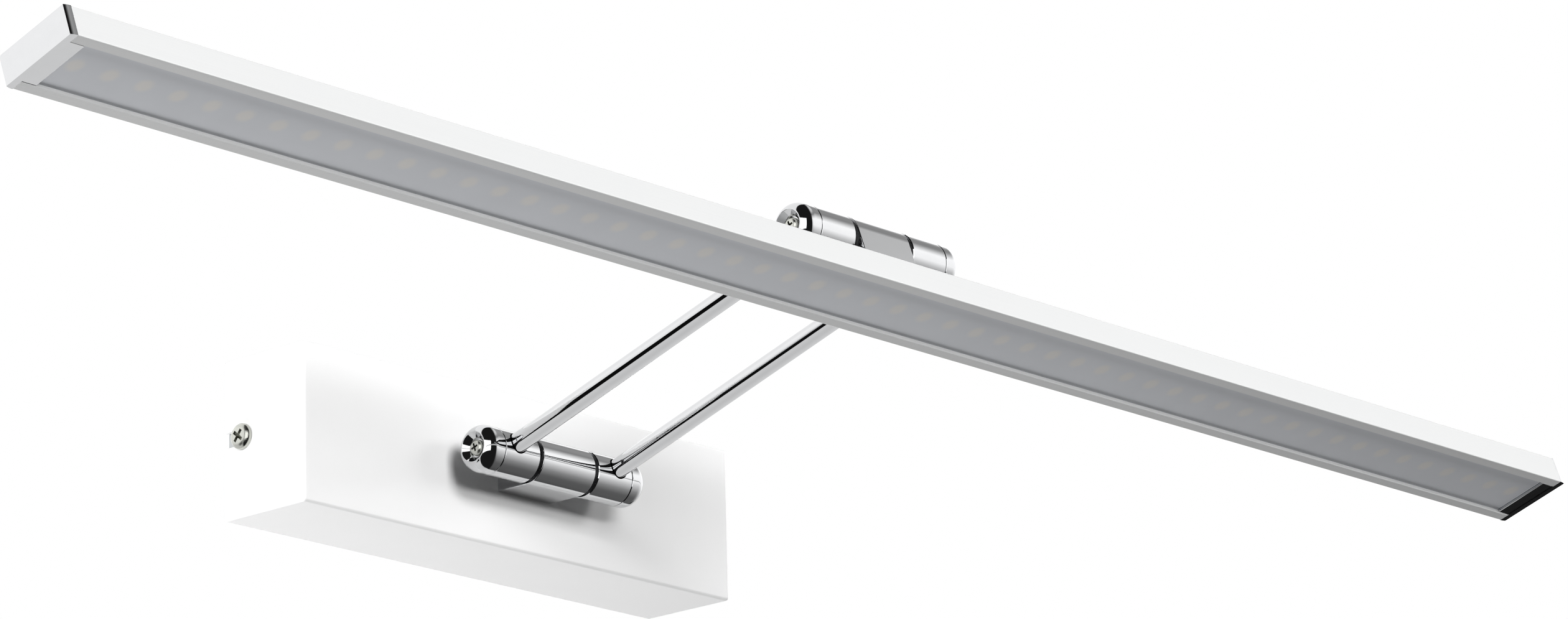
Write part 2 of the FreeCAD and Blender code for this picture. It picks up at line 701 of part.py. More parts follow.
def in_head_place(shape):
    return placed(shape, -HEAD_TILT_DEG, HEAD_TOP)


def bar_x(end_inset):
    return HEAD_LENGTH / 2 - end_inset


def head_profile():
    """The extruded U section: web on top, a wall on each side, and a lip under each edge."""
    half = HEAD_WIDTH / 2
    bottom = -HEAD_HEIGHT
    lip_inner = half - LIP_WIDTH
    wall_inner = half - PROFILE_WALL
    lip_top = bottom + LIP_THICKNESS
    outline = [
        (-half, 0), (half, 0), (half, bottom),
        (lip_inner + LIP_BEVEL, bottom), (lip_inner, bottom + LIP_BEVEL), (lip_inner, lip_top),
        (wall_inner, lip_top), (wall_inner, -PROFILE_WEB),
        (-wall_inner, -PROFILE_WEB), (-wall_inner, lip_top),
        (-lip_inner, lip_top), (-lip_inner, bottom + LIP_BEVEL), (-lip_inner - LIP_BEVEL, bottom),
        (-half, bottom),
    ]
    x_end = bar_x(END_PLATE)
    points = [V(-x_end, y, z) for y, z in outline]
    body = Part.Face(Part.makePolygon(points + points[:1])).extrude(V(2 * x_end, 0, 0))
    outer_edges = edges_along(body, V(1, 0, 0), lambda middle: abs(abs(middle.y) - half) < 1e-6)
    body = body.makeFillet(PROFILE_EDGE_RADIUS, outer_edges)
    return cut_all(body, web_holes())


def web_holes():
    """The countersunk holes for the foot screws and the hole for the leads."""
    tools = [rod(FOOT_BORE_RADIUS, V(0, 0, 1), V(0, 0, -PROFILE_WEB - 1))]
    for side in (-1, 1):
        x = side * FOOT_SCREW_X
        tools.append(rod(1.5, V(x, 0, 1), V(x, 0, -PROFILE_WEB - 1)))
        tools.append(Part.makeCone(2.8, 1.5, 1.3, V(x, 0, -PROFILE_WEB), V(0, 0, 1)))
    return tools


def diffuser():
    """The frosted strip that rests on the lips, seen a lip's thickness inside the underside."""
    half = HEAD_WIDTH / 2 - PROFILE_WALL - FIT_GAP
    z_low = -HEAD_HEIGHT + LIP_THICKNESS
    x_end = bar_x(END_PLATE + END_TONGUE + FIT_GAP)
    return block(-x_end, x_end, -half, half, z_low, z_low + DIFFUSER_THICKNESS)


def led_board():
    """The aluminium-core board under the web, with a hole for the leads."""
    x_end = bar_x(END_PLATE + END_TONGUE + 1.0)
    z_top = -PROFILE_WEB
    body = block(-x_end, x_end, -BOARD_WIDTH / 2, BOARD_WIDTH / 2, z_top - BOARD_THICKNESS, z_top)
    return body.cut(rod(1.9, V(0, 0, z_top + 1), V(0, 0, z_top - BOARD_THICKNESS - 1)))


def led_chips():
    """The row of LEDs, each a small square package on the board."""
    chips = []
    half = LED_SIZE / 2
    z_top = -PROFILE_WEB - BOARD_THICKNESS
    for index in range(LED_COUNT):
        x = (index - (LED_COUNT - 1) / 2) * LED_PITCH
        chips.append(block(x - half, x + half, -half, half, z_top - LED_HEIGHT, z_top))
    return chips


def head_end_cap():
    """The right-hand end: a rounded plate with a tongue that fills the underside opening."""
    half = HEAD_WIDTH / 2
    x_outer = bar_x(0)
    x_inner = bar_x(END_PLATE)
    plate = block(x_inner, x_outer, -half, half, -HEAD_HEIGHT, 0)
    outer_edges = [edge for edge in plate.Edges if abs(edge.CenterOfMass.x - x_outer) < 1e-6]
    plate = plate.makeFillet(END_EDGE_RADIUS, outer_edges)
    x_tongue = bar_x(END_PLATE + END_TONGUE)
    lip_inner = half - LIP_WIDTH - FIT_GAP
    wall_inner = half - PROFILE_WALL - FIT_GAP
    lip_top = -HEAD_HEIGHT + LIP_THICKNESS + FIT_GAP
    under_web = -PROFILE_WEB - FIT_GAP
    tongue = block(x_tongue, x_inner, -lip_inner, lip_inner, -HEAD_HEIGHT + 0.05, lip_top)
    plug = block(x_tongue, x_inner, -wall_inner, wall_inner, lip_top, under_web)
    return joined([plate, tongue, plug])


def head_leads():
    """Two leads from the upper hinge to the pads on the LED board."""
    leads = []
    for side in (-1, 1):
        x_bore = side * 0.8
        z_pad = -PROFILE_WEB - BOARD_THICKNESS - OUTPUT_LEAD_RADIUS - 0.25
        points = [
            V(x_bore, 0, AXIS_TO_FACE - AXLE_RADIUS - 0.7),
            V(x_bore, 0, z_pad),
            V(side * 3.4, 3.2, z_pad),
        ]
        leads.append(lead(points, OUTPUT_LEAD_RADIUS, 1.0))
    return leads


# ---- the assembly ---------------------------------------------------------------------------------------------

def write(name, shape):
    if isinstance(shape, list):
        shape = Part.makeCompound(shape)
    valid = shape.isValid()
    print("%-24s solids %2d  volume %9.1f  %s" % (name, len(shape.Solids), shape.Volume, "ok" if valid else "INVALID"))
    shape.exportStep("parts/%s.step" % name)


def write_hinge(prefix, origin, foot_angle_deg, rod_angle_deg, knuckle_screws):
    """One complete hinge, turned about X so that its foot and its rod sockets point the right way."""
    def group(shapes, angle):
        return [placed(shape, angle, origin) for shape in shapes]

    write(prefix + "_knuckle", placed(knuckle(), foot_angle_deg, origin))
    write(prefix + "_foot_screws", group(knuckle_screws, foot_angle_deg))
    axle_shape = axle_with_rod_holes(rod_angle_deg - foot_angle_deg)
    write(prefix + "_axle", placed(axle_shape, foot_angle_deg, origin))
    write(prefix + "_friction_washers", group(friction_washers(), rod_angle_deg))
    write(prefix + "_cap_screws", group(cap_screws(), rod_angle_deg))
    for side, name in ((1, "right"), (-1, "left")):
        barrel = swivel() if side > 0 else mirrored(swivel())
        cap = end_cap() if side > 0 else mirrored(end_cap())
        write("%s_swivel_%s" % (prefix, name), placed(barrel, rod_angle_deg, origin))
        write("%s_cap_%s" % (prefix, name), placed(cap, rod_angle_deg, origin))


def write_wall_box():
    write("wall_plate", wall_plate())
    write("plate_nuts", plate_nuts())
    write("cover_box", cover_box())
    write("cover_screws", cover_screws())
    write("cable_grommet", cable_grommet())
    write("cord_clamp", cord_clamp())
    write("cord_clamp_screws", cord_clamp_screws())
    write("terminal_block", terminal_block())
    write("terminal_sleeves", terminal_sleeves())
    write("terminal_screws", terminal_screws())
    write("terminal_fixing_screw", terminal_fixing_screw())
    write("earth_stud", earth_stud())
    write("earth_nuts", earth_nuts())
    write("earth_washer", earth_washer())
    write("backing_plate", backing_plate())
    write("lead_bush", lead_bush())
    write("driver_pad", driver_pad())
    write("driver_case", driver_case())
    write("driver_lid", driver_lid())
    write("driver_board", driver_board())
    write("mains_leads", mains_leads())
    write("output_leads", output_leads())


def write_arm():
    write("rod_right", arm_rod())
    write("rod_left", mirrored(arm_rod()))
    write("arm_leads", arm_leads())


def write_head():
    write("head_profile", in_head_place(head_profile()))
    write("diffuser", in_head_place(diffuser()))
    write("led_board", in_head_place(led_board()))
    write("led_chips", [in_head_place(chip) for chip in led_chips()])
    write("head_end_cap_right", in_head_place(head_end_cap()))
    write("head_end_cap_left", in_head_place(mirrored(head_end_cap())))
    write("head_leads", [in_head_place(piece) for piece in head_leads()])


write_wall_box()
write_hinge("lower", LOWER_AXIS, 0, -ARM_RISE_DEG,
            foot_screws(BOX_WALL + BACKING_THICKNESS, pan_screw(1.5, 7.4, 2.75, 1.9)))
write_arm()
write_hinge("upper", UPPER_AXIS, -90 - HEAD_TILT_DEG, 180 - ARM_RISE_DEG,
            foot_screws(PROFILE_WEB, countersunk_screw(1.5, 5.8, 2.8, 1.3)))
write_head()
print("upper axis", UPPER_AXIS, "head top", HEAD_TOP)
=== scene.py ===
import json
import math

import bmesh
import bpy
from mathutils import Matrix, Vector


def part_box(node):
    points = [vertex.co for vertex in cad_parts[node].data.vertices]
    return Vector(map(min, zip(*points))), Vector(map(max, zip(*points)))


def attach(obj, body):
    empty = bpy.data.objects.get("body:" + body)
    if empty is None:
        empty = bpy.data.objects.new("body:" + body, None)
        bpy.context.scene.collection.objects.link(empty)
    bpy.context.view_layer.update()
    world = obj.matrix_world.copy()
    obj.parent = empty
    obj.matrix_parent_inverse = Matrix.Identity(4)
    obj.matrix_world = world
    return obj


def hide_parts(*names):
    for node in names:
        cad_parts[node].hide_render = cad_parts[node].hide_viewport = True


# The looks of a wall picture light: a wall box, a two-rod arm with a hinge at each end, and an LED bar.
# Lengths in the shape functions are millimetres; the scene is in metres, in the row frame.

MM = 0.001
SEGMENTS = 128

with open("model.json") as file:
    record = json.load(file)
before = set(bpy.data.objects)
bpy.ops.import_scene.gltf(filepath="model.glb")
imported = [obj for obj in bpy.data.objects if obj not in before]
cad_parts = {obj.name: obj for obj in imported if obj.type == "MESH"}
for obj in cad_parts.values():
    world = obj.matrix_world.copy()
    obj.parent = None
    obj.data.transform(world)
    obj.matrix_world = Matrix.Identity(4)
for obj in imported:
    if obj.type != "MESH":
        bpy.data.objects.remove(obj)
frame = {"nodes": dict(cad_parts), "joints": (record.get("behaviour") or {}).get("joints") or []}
JOINTS = {joint["name"]: joint for joint in frame["joints"]}
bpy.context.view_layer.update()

# ---- driving dimensions --------------------------------------------------------------------------

BOX_WALL = 1.2
BOX_EDGE_RADIUS = 0.9
BOX_SCREW_HOLE_RADIUS = 1.7
BOX_LEAD_HOLE_RADIUS = 3.05
NOTCH_HALF = 2.2
SIDE_SCREW_TURN = math.radians(38)

BARREL_RADIUS = 6.75
AXIS_TO_FACE = 11.3
KNUCKLE_HALF = 10.4
SWIVEL_INNER = 11.8
SWIVEL_OUTER = 25.4
CAP_TIP = 32.2
CAP_DOME_RADIUS = 4.2
CAP_RIM_RADIUS = 4.15
CAP_CONE_DEG = 42.0
CAP_SEAT = 29.6
CAP_SEAT_RADIUS = 2.7
GROOVE_CHAMFER = 0.22
GROOVE_EDGE = 0.08
GROOVE_HALF = 0.16
GROOVE_DEPTH = 0.6
SOCKET_FLARE = 0.25
SOCKET_GAP = 0.12
RIM_ROUND = 0.28
AXLE_RADIUS = 3.0
AXLE_END = 27.6
LEAD_BORE_RADIUS = 2.25
FOOT_SCREW_X = 7.2
ARM_RISE = math.radians(17.9)
ROD_X = 20.1
ROD_RADIUS = 2.85
ROD_BORE_RADIUS = 1.85
ROD_END_FROM_AXIS = 3.9

HEAD_LENGTH = 600.0
HEAD_WIDTH = 24.0
HEAD_HEIGHT = 8.4
HEAD_TILT = math.radians(18.6)
PROFILE_WALL = 1.3
PROFILE_WEB = 1.6
LIP_WIDTH = 3.1
LIP_THICKNESS = 1.0
LIP_BEVEL = 0.2
PROFILE_EDGE_RADIUS = 0.35
PROFILE_SCREW_HOLE_RADIUS = 1.5
DIFFUSER_THICKNESS = 1.6
END_PLATE = 2.2
END_TONGUE = 4.8
END_CROWN = 0.35
BOARD_WIDTH = 12.0
BOARD_THICKNESS = 1.0
BOARD_LEAD_HOLE_RADIUS = 1.9
LED_COUNT = 54
LED_PITCH = 10.87
LED_SIZE = 2.8
LED_HEIGHT = 0.7
# The LEDs seen through the frosted strip are painted into its colour as warm spots; the shift is the
# parallax of a view from the front left.
PAINTED_SPOT_SHIFT_X = 1.0
PAINTED_SPOT_SHIFT_Y = 0.8
PAINTED_SPOT_CORE = 1.2
PAINTED_SPOT_EDGE = 3.3

# The steepest angle in degrees between faces that still shade as one surface.
SOFT_DEG = 32
SCREW_SOFT_DEG = 28
DOME_SOFT_DEG = 24

# Metres.
FLOOR_Z = -0.75
LIGHT_DISTANCE = 1.6

# ---- places, from the frame ----------------------------------------------------------------------

LOWER_AXIS = Vector(JOINTS["arm_tilt"]["pos_m"])
UPPER_AXIS = Vector(JOINTS["bar_tilt"]["pos_m"])
HEAD_UP = Vector((0, math.sin(HEAD_TILT), math.cos(HEAD_TILT)))
HEAD_TOP = UPPER_AXIS - HEAD_UP * AXIS_TO_FACE * MM
ARM_DIRECTION = (UPPER_AXIS - LOWER_AXIS).normalized()


def about_x(angle, origin):
    return Matrix.Translation(origin) @ Matrix.Rotation(angle, 4, "X")


HEAD_PLACE = about_x(-HEAD_TILT, HEAD_TOP)


# ---- shapes --------------------------------------------------------------------------------------

def mesh_object(bm, name):
    """A new object from a bmesh in millimetres."""
    bmesh.ops.recalc_face_normals(bm, faces=bm.faces)
    bmesh.ops.scale(bm, vec=(MM, MM, MM), verts=bm.verts)
    mesh = bpy.data.meshes.new(name)
    bm.to_mesh(mesh)
    bm.free()
    obj = bpy.data.objects.new(name, mesh)
    bpy.context.scene.collection.objects.link(obj)
    return obj


def turned(name, outline, segments=SEGMENTS):
    """A solid of revolution about X from a closed outline of (x, radius) points."""
    bm = bmesh.new()
    rings = []
    for x, radius in outline:
        if radius == 0:
            rings.append([bm.verts.new((x, 0, 0))])
            continue
        angles = [2 * math.pi * step / segments for step in range(segments)]
        rings.append([bm.verts.new((x, radius * math.cos(a), radius * math.sin(a))) for a in angles])
    for ring, following in zip(rings, rings[1:] + rings[:1]):
        for step in range(segments):
            after = (step + 1) % segments
            corners = [ring[step % len(ring)], ring[after % len(ring)],
                       following[after % len(following)], following[step % len(following)]]
            corners = list(dict.fromkeys(corners))
            if len(corners) > 2:
                bm.faces.new(corners)
    return mesh_object(bm, name)


def add_prism(bm, outline, x0, x1):
    """Adds an outline of (y, z) points, extruded along X."""
    near = [bm.verts.new((x0, y, z)) for y, z in outline]
    far = [bm.verts.new((x1, y, z)) for y, z in outline]
    count = len(outline)
    for step in range(count):
        after = (step + 1) % count
        bm.faces.new((near[step], near[after], far[after], far[step]))
    bm.faces.new(near)
    bm.faces.new(list(reversed(far)))


def prism(name, outline, x0, x1):
    bm = bmesh.new()
    add_prism(bm, outline, x0, x1)
    return mesh_object(bm, name)


def rectangle(y0, y1, z0, z1):
    return [(y0, z0), (y1, z0), (y1, z1), (y0, z1)]


def slab(name, x0, x1, y0, y1, z0, z1):
    return prism(name, rectangle(y0, y1, z0, z1), x0, x1)


def arc(centre, radius, start_deg, end_deg, steps):
    """Points on an arc, both ends included."""
    points = []
    for step in range(steps + 1):
        angle = math.radians(start_deg + (end_deg - start_deg) * step / steps)
        points.append((centre[0] + radius * math.cos(angle), centre[1] + radius * math.sin(angle)))
    return points


def pin(name, radius, start, end, segments=48):
    """A cylinder between two points, used as a cutting tool."""
    start, end = Vector(start), Vector(end)
    along = end - start
    obj = turned(name, [(0, 0), (0, radius), (along.length, radius), (along.length, 0)], segments)
    turn = Vector((1, 0, 0)).rotation_difference(along)
    obj.data.transform(Matrix.Translation(start * MM) @ turn.to_matrix().to_4x4())
    return obj


def settle(obj):
    """Applies the modifiers, so the mesh is final."""
    depsgraph = bpy.context.evaluated_depsgraph_get()
    final = bpy.data.meshes.new_from_object(obj.evaluated_get(depsgraph))
    obj.modifiers.clear()
    obj.data = final
    return obj


def joined(name, objects):
    """One object out of several, which stay separate shells."""
    bm = bmesh.new()
    for obj in objects:
        bm.from_mesh(obj.data)
        bpy.data.objects.remove(obj)
    mesh = bpy.data.meshes.new(name)
    bm.to_mesh(mesh)
    bm.free()
    whole = bpy.data.objects.new(name, mesh)
    bpy.context.scene.collection.objects.link(whole)
    return whole


def cut(obj, tools):
    """Cuts tools that don't touch each other from obj."""
    tool = joined("tools", tools)
    modifier = obj.modifiers.new("boolean", "BOOLEAN")
    modifier.operation = "DIFFERENCE"
    modifier.solver = "EXACT"
    modifier.object = tool
    settle(obj)
    bpy.data.objects.remove(tool)


def smooth(obj, sharp_deg=SOFT_DEG):
    obj.data.shade_smooth()
    obj.data.set_sharp_from_angle(angle=math.radians(sharp_deg))
    return obj


def edged(obj, width, segments):
    """Rounds the sharp edges by a width in millimetres and keeps the flats flat."""
    smooth(obj)
    bevel = obj.modifiers.new("edges", "BEVEL")
    bevel.width = width * MM
    bevel.segments = segments
    bevel.limit_method = "ANGLE"
    bevel.angle_limit = math.radians(SOFT_DEG)
    bevel.use_clamp_overlap = True
    bevel.harden_normals = True
    return settle(obj)


def weighted(obj):
    """Flat faces keep their own normals where they meet a small radius."""
    modifier = obj.modifiers.new("normals", "WEIGHTED_NORMAL")
    modifier.keep_sharp = True
    modifier.weight = 100
    return settle(obj)


def true_round(obj, radius):
    """Gives a cut barrel about X the normals of the true cylinder, so its reflections run straight."""
    mesh = obj.data
    tolerance = 0.02 * MM
    normals = [corner.vector.copy() for corner in mesh.corner_normals]
    for face in mesh.polygons:
        for index in face.loop_indices:
            place = mesh.vertices[mesh.loops[index].vertex_index].co
            from_axis = Vector((0, place.y, place.z))
            outward = from_axis.normalized()
            if abs(from_axis.length - radius * MM) < tolerance and face.normal.dot(outward) > 0.99:
                normals[index] = outward
    mesh.normals_split_custom_set(normals)
    return obj


def mirrored(obj):
    """Turns a right-hand piece into the left-hand one."""
    bm = bmesh.new()
    bm.from_mesh(obj.data)
    bmesh.ops.scale(bm, vec=(-1, 1, 1), verts=bm.verts)
    bmesh.ops.reverse_faces(bm, faces=bm.faces)
    bm.to_mesh(obj.data)
    bm.free()
    return obj


# ---- materials -----------------------------------------------------------------------------------

class Nodes:
    """The node helpers that the materials and the surround share."""

    def __init__(self, tree):
        self.tree = tree

    def add(self, kind, **settings):
        node = self.tree.nodes.new(kind)
        for key, value in settings.items():
            setattr(node, key, value)
        return node

    def link(self, source, target):
        self.tree.links.new(source, target)

    def feed(self, value, socket):
        """Sets a number or a colour on a socket, and links anything else to it."""
        if isinstance(value, (int, float)):
            socket.default_value = value
        elif isinstance(value, tuple):
            socket.default_value = (*value, 1)
        else:
            self.link(value, socket)

    def math(self, operation, first, second=0.0):
        node = self.add("ShaderNodeMath", operation=operation)
        self.feed(first, node.inputs[0])
        self.feed(second, node.inputs[1])
        return node.outputs[0]


class Surface(Nodes):
    """A Principled material and what its finish is built with."""

    def __init__(self, name, **constants):
        self.material = bpy.data.materials.new(name)
        self.material.use_nodes = True
        super().__init__(self.material.node_tree)
        self.shader = self.tree.nodes["Principled BSDF"]
        for socket, value in constants.items():
            self.shader.inputs[socket.replace("_", " ")].default_value = value
        self.place = self.add("ShaderNodeTexCoord").outputs["Object"]

    def stretched(self, scale):
        """The object's own coordinates in metres, scaled per axis."""
        mapping = self.add("ShaderNodeMapping")
        mapping.inputs["Scale"].default_value = scale
        self.link(self.place, mapping.inputs["Vector"])
        return mapping.outputs["Vector"]

    def noise(self, scale, detail=3.0, roughness=0.55, stretch=None):
        """Noise with a feature size of about 1 / scale metres."""
        node = self.add("ShaderNodeTexNoise")
        node.inputs["Scale"].default_value = scale
        node.inputs["Detail"].default_value = detail
        node.inputs["Roughness"].default_value = roughness
        self.link(self.stretched(stretch) if stretch else self.place, node.inputs["Vector"])
        return node.outputs["Fac"]

    def cells(self, scale):
        node = self.add("ShaderNodeTexVoronoi")
        node.inputs["Scale"].default_value = scale
        self.link(self.place, node.inputs["Vector"])
        return node.outputs["Color"]

    def spread(self, value, low, high, source=(0.25, 0.75), soft=False):
        node = self.add("ShaderNodeMapRange")
        if soft:
            node.interpolation_type = "SMOOTHSTEP"
        self.link(value, node.inputs["Value"])
        node.inputs["From Min"].default_value = source[0]
        node.inputs["From Max"].default_value = source[1]
        node.inputs["To Min"].default_value = low
        node.inputs["To Max"].default_value = high
        return node.outputs["Result"]

    def ramp(self, value, stops):
        node = self.add("ShaderNodeValToRGB")
        self.link(value, node.inputs["Fac"])
        elements = node.color_ramp.elements
        for element, (position, colour) in zip(elements, (stops[0], stops[-1])):
            element.position = position
            element.color = (*colour, 1)
        for position, colour in stops[1:-1]:
            element = elements.new(position)
            element.color = (*colour, 1)
        return node.outputs["Color"]

    def mix(self, amount, first, second):
        """Colour between two colours or colour sockets."""
        node = self.add("ShaderNodeMix", data_type="RGBA")
        for socket, value in ((0, amount), (6, first), (7, second)):
            self.feed(value, node.inputs[socket])
        return node.outputs[2]

    def colour(self, source):
        self.link(source, self.shader.inputs["Base Color"])

    def roughness(self, source):
        self.link(source, self.shader.inputs["Roughness"])

    def bump(self, height, distance_mm, strength):
        node = self.add("ShaderNodeBump")
        node.inputs["Distance"].default_value = distance_mm * MM
        node.inputs["Strength"].default_value = strength
        self.link(height, node.inputs["Height"])
        self.link(node.outputs["Normal"], self.shader.inputs["Normal"])


def around(colour, change):
    """A darker and a lighter version of a colour, for a ramp."""
    darker = tuple(channel * (1 - change) for channel in colour)
    lighter = tuple(min(1.0, channel * (1 + change)) for channel in colour)
    return [(0.3, darker), (0.7, lighter)]


def chrome():
    """Bright chrome plate: almost a mirror, with a faint haze and the ripple of the polished zinc below."""
    surface = Surface("chrome", Metallic=1.0)
    haze = surface.noise(260, detail=4)
    surface.colour(surface.ramp(haze, around((0.60, 0.604, 0.612), 0.012)))
    surface.roughness(surface.spread(surface.noise(900), 0.035, 0.075))
    surface.bump(surface.noise(140, detail=2), 0.006, 0.2)
    return surface.material


def satin_aluminium():
    """Anodised extrusion: fine lines along the bar, a slight change of tone and a satin gloss."""
    surface = Surface("satin_aluminium", Metallic=0.28)
    lines = surface.noise(1.0, detail=5, roughness=0.7, stretch=(9, 5200, 5200))
    tone = surface.noise(14, detail=3)
    base = surface.ramp(tone, around((0.71, 0.715, 0.715), 0.012))
    fine = surface.ramp(lines, around((0.71, 0.715, 0.715), 0.03))
    surface.colour(surface.mix(0.5, base, fine))
    surface.roughness(surface.spread(lines, 0.36, 0.46))
    surface.bump(lines, 0.006, 0.35)
    return surface.material


def white_powder():
    """Fine-textured white powder coat with a soft orange peel."""
    surface = Surface("white_powder", Specular_IOR_Level=0.35)
    peel = surface.noise(620, detail=3)
    grain = surface.noise(3200, detail=2)
    tone = surface.noise(45, detail=2)
    surface.colour(surface.ramp(tone, around((0.905, 0.905, 0.905), 0.006)))
    surface.roughness(surface.spread(peel, 0.42, 0.55))
    height = surface.math("ADD", surface.math("MULTIPLY", peel, 0.7), surface.math("MULTIPLY", grain, 0.3))
    surface.bump(height, 0.02, 0.35)
    return surface.material


def plated_steel(name, colour, rough, patch):
    """Plated steel: cloudy plating over fine rolling lines."""
    surface = Surface(name, Metallic=1.0)
    clouds = surface.noise(patch, detail=4)
    lines = surface.noise(1.0, detail=3, stretch=(5200, 300, 420))
    base = surface.ramp(clouds, around(colour, 0.08))
    surface.colour(surface.mix(0.25, base, surface.ramp(lines, around(colour, 0.12))))
    surface.roughness(surface.spread(clouds, rough - 0.06, rough + 0.08))
    surface.bump(lines, 0.01, 0.4)
    return surface.material


def brass():
    surface = Surface("brass", Metallic=1.0)
    clouds = surface.noise(380, detail=4)
    surface.colour(surface.ramp(clouds, [(0.3, (0.62, 0.42, 0.16)), (0.7, (0.82, 0.62, 0.28))]))
    surface.roughness(surface.spread(clouds, 0.22, 0.38))
    surface.bump(surface.noise(4200), 0.01, 0.4)
    return surface.material


def moulded(name, colour, rough):
    """Moulded plastic or rubber: a fine spark-eroded grain and a slight change of tone."""
    surface = Surface(name, Specular_IOR_Level=0.4)
    tone = surface.noise(90, detail=3)
    grain = surface.noise(2600, detail=2)
    surface.colour(surface.ramp(tone, around(colour, 0.06)))
    surface.roughness(surface.spread(grain, rough - 0.08, rough + 0.08))
    surface.bump(grain, 0.03, 0.5)
    return surface.material


def foam_tape():
    surface = Surface("foam_tape", Specular_IOR_Level=0.15)
    pores = surface.noise(1400, detail=3, roughness=0.7)
    surface.colour(surface.ramp(pores, [(0.3, (0.55, 0.55, 0.53)), (0.7, (0.86, 0.86, 0.84))]))
    surface.roughness(surface.spread(pores, 0.8, 0.98))
    surface.bump(pores, 0.15, 0.7)
    return surface.material


def circuit_green():
    """Solder mask over faint copper tracks."""
    surface = Surface("driver_green", Specular_IOR_Level=0.5)
    cells = surface.cells(520)
    tracks = surface.ramp(cells, [(0.35, (0.015, 0.12, 0.05)), (0.65, (0.05, 0.28, 0.12))])
    surface.colour(tracks)
    surface.roughness(surface.spread(surface.noise(900), 0.25, 0.45))
    surface.bump(cells, 0.03, 0.4)
    return surface.material


def lead_insulation():
    """Extruded insulation with the soft drag lines of the die."""
    surface = Surface("lead_insulation", Specular_IOR_Level=0.45)
    lines = surface.noise(1.0, detail=3, stretch=(300, 2400, 2400))
    surface.colour(surface.ramp(lines, [(0.3, (0.60, 0.60, 0.58)), (0.7, (0.80, 0.80, 0.78))]))
    surface.roughness(surface.spread(lines, 0.32, 0.5))
    surface.bump(lines, 0.02, 0.4)
    return surface.material


def board_white():
    """White solder mask on the LED board, with faint tracks showing through."""
    surface = Surface("board_white", Specular_IOR_Level=0.45)
    tracks = surface.cells(260)
    surface.colour(surface.ramp(tracks, [(0.4, (0.74, 0.75, 0.74)), (0.6, (0.84, 0.84, 0.83))]))
    surface.roughness(surface.spread(surface.noise(1200), 0.3, 0.45))
    surface.bump(tracks, 0.02, 0.4)
    return surface.material


def led_phosphor():
    surface = Surface("led_phosphor", Specular_IOR_Level=0.5)
    grains = surface.noise(5200, detail=3)
    surface.colour(surface.ramp(grains, [(0.3, (0.80, 0.62, 0.16)), (0.7, (0.93, 0.80, 0.34))]))
    surface.roughness(surface.spread(grains, 0.35, 0.55))
    surface.bump(grains, 0.02, 0.5)
    return surface.material


def frosted_acrylic():
    """Frosted strip: satin, blue-grey, with the LEDs behind it painted into its colour as soft warm spots,
    shifted to where a view from the front left sees them through it.
    """
    surface = Surface("frosted_acrylic", Specular_IOR_Level=0.5)
    split = surface.add("ShaderNodeSeparateXYZ")
    surface.link(surface.place, split.inputs[0])
    along = surface.math("ADD", split.outputs["X"], PAINTED_SPOT_SHIFT_X * MM)
    across = surface.math("ADD", split.outputs["Y"], PAINTED_SPOT_SHIFT_Y * MM)
    pitch = LED_PITCH * MM
    step = surface.math("FRACT", surface.math("DIVIDE", along, pitch))
    from_led = surface.math("MULTIPLY", surface.math("SUBTRACT", step, 0.5), pitch)
    squared = surface.math("ADD", surface.math("MULTIPLY", from_led, from_led),
                           surface.math("MULTIPLY", across, across))
    painted_spot_mask = surface.spread(surface.math("SQRT", squared), 1.0, 0.0,
                          source=(PAINTED_SPOT_CORE * MM, PAINTED_SPOT_EDGE * MM), soft=True)
    half_row = LED_COUNT / 2 * pitch
    row_end = surface.spread(surface.math("ABSOLUTE", along), 1.0, 0.0,
                             source=(half_row, half_row + 0.2 * MM))
    painted_spot_mask = surface.math("MULTIPLY", painted_spot_mask, row_end)
    tone = surface.noise(60, detail=3)
    base = surface.ramp(tone, around((0.60, 0.615, 0.645), 0.02))
    grain = surface.noise(5200, detail=2)
    # Painted show-through of the LEDs: warm spots mixed into the base colour, with no light passing through
    # the strip.
    painted_led_spots = surface.mix(surface.math("MULTIPLY", painted_spot_mask, 0.8), base, (0.685, 0.665, 0.635))
    surface.colour(painted_led_spots)
    surface.roughness(surface.spread(grain, 0.30, 0.42))
    surface.bump(grain, 0.008, 0.4)
    return surface.material


FINISHES = {
    "chrome": chrome(),
    "satin_aluminium": satin_aluminium(),
    "white_powder": white_powder(),
    "zinc_steel": plated_steel("zinc_steel", (0.50, 0.515, 0.52), 0.36, 160),
    "nickel_steel": plated_steel("nickel_steel", (0.52, 0.525, 0.485), 0.24, 500),
    "brass": brass(),
    "black_rubber": moulded("black_rubber", (0.022, 0.022, 0.023), 0.72),
    "black_polymer": moulded("black_polymer", (0.018, 0.018, 0.019), 0.45),
    "terminal_plastic": moulded("terminal_plastic", (0.80, 0.79, 0.74), 0.42),
    "driver_plastic": moulded("driver_plastic", (0.82, 0.82, 0.81), 0.48),
    "foam_tape": foam_tape(),
    "driver_green": circuit_green(),
    "lead_insulation": lead_insulation(),
    "board_white": board_white(),
    "led_phosphor": led_phosphor(),
    "frosted_acrylic": frosted_acrylic(),
}


def finish_cad_nodes():
    """Every carried-over CAD node gets the procedural finish of its own slot."""
    for node in frame["nodes"].values():
        for index, material in enumerate(node.data.materials):
            node.data.materials[index] = FINISHES[material.name.split(".")[0]]


def piece(obj, body, slot, *nodes):
    """Hands a finished piece over: its finish, the body it moves with and the CAD nodes it stands for."""
    if not obj.data.materials:
        obj.data.materials.append(FINISHES[slot])
    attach(obj, body)
    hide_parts(*nodes)


# ---- screws --------------------------------------------------------------------------------------

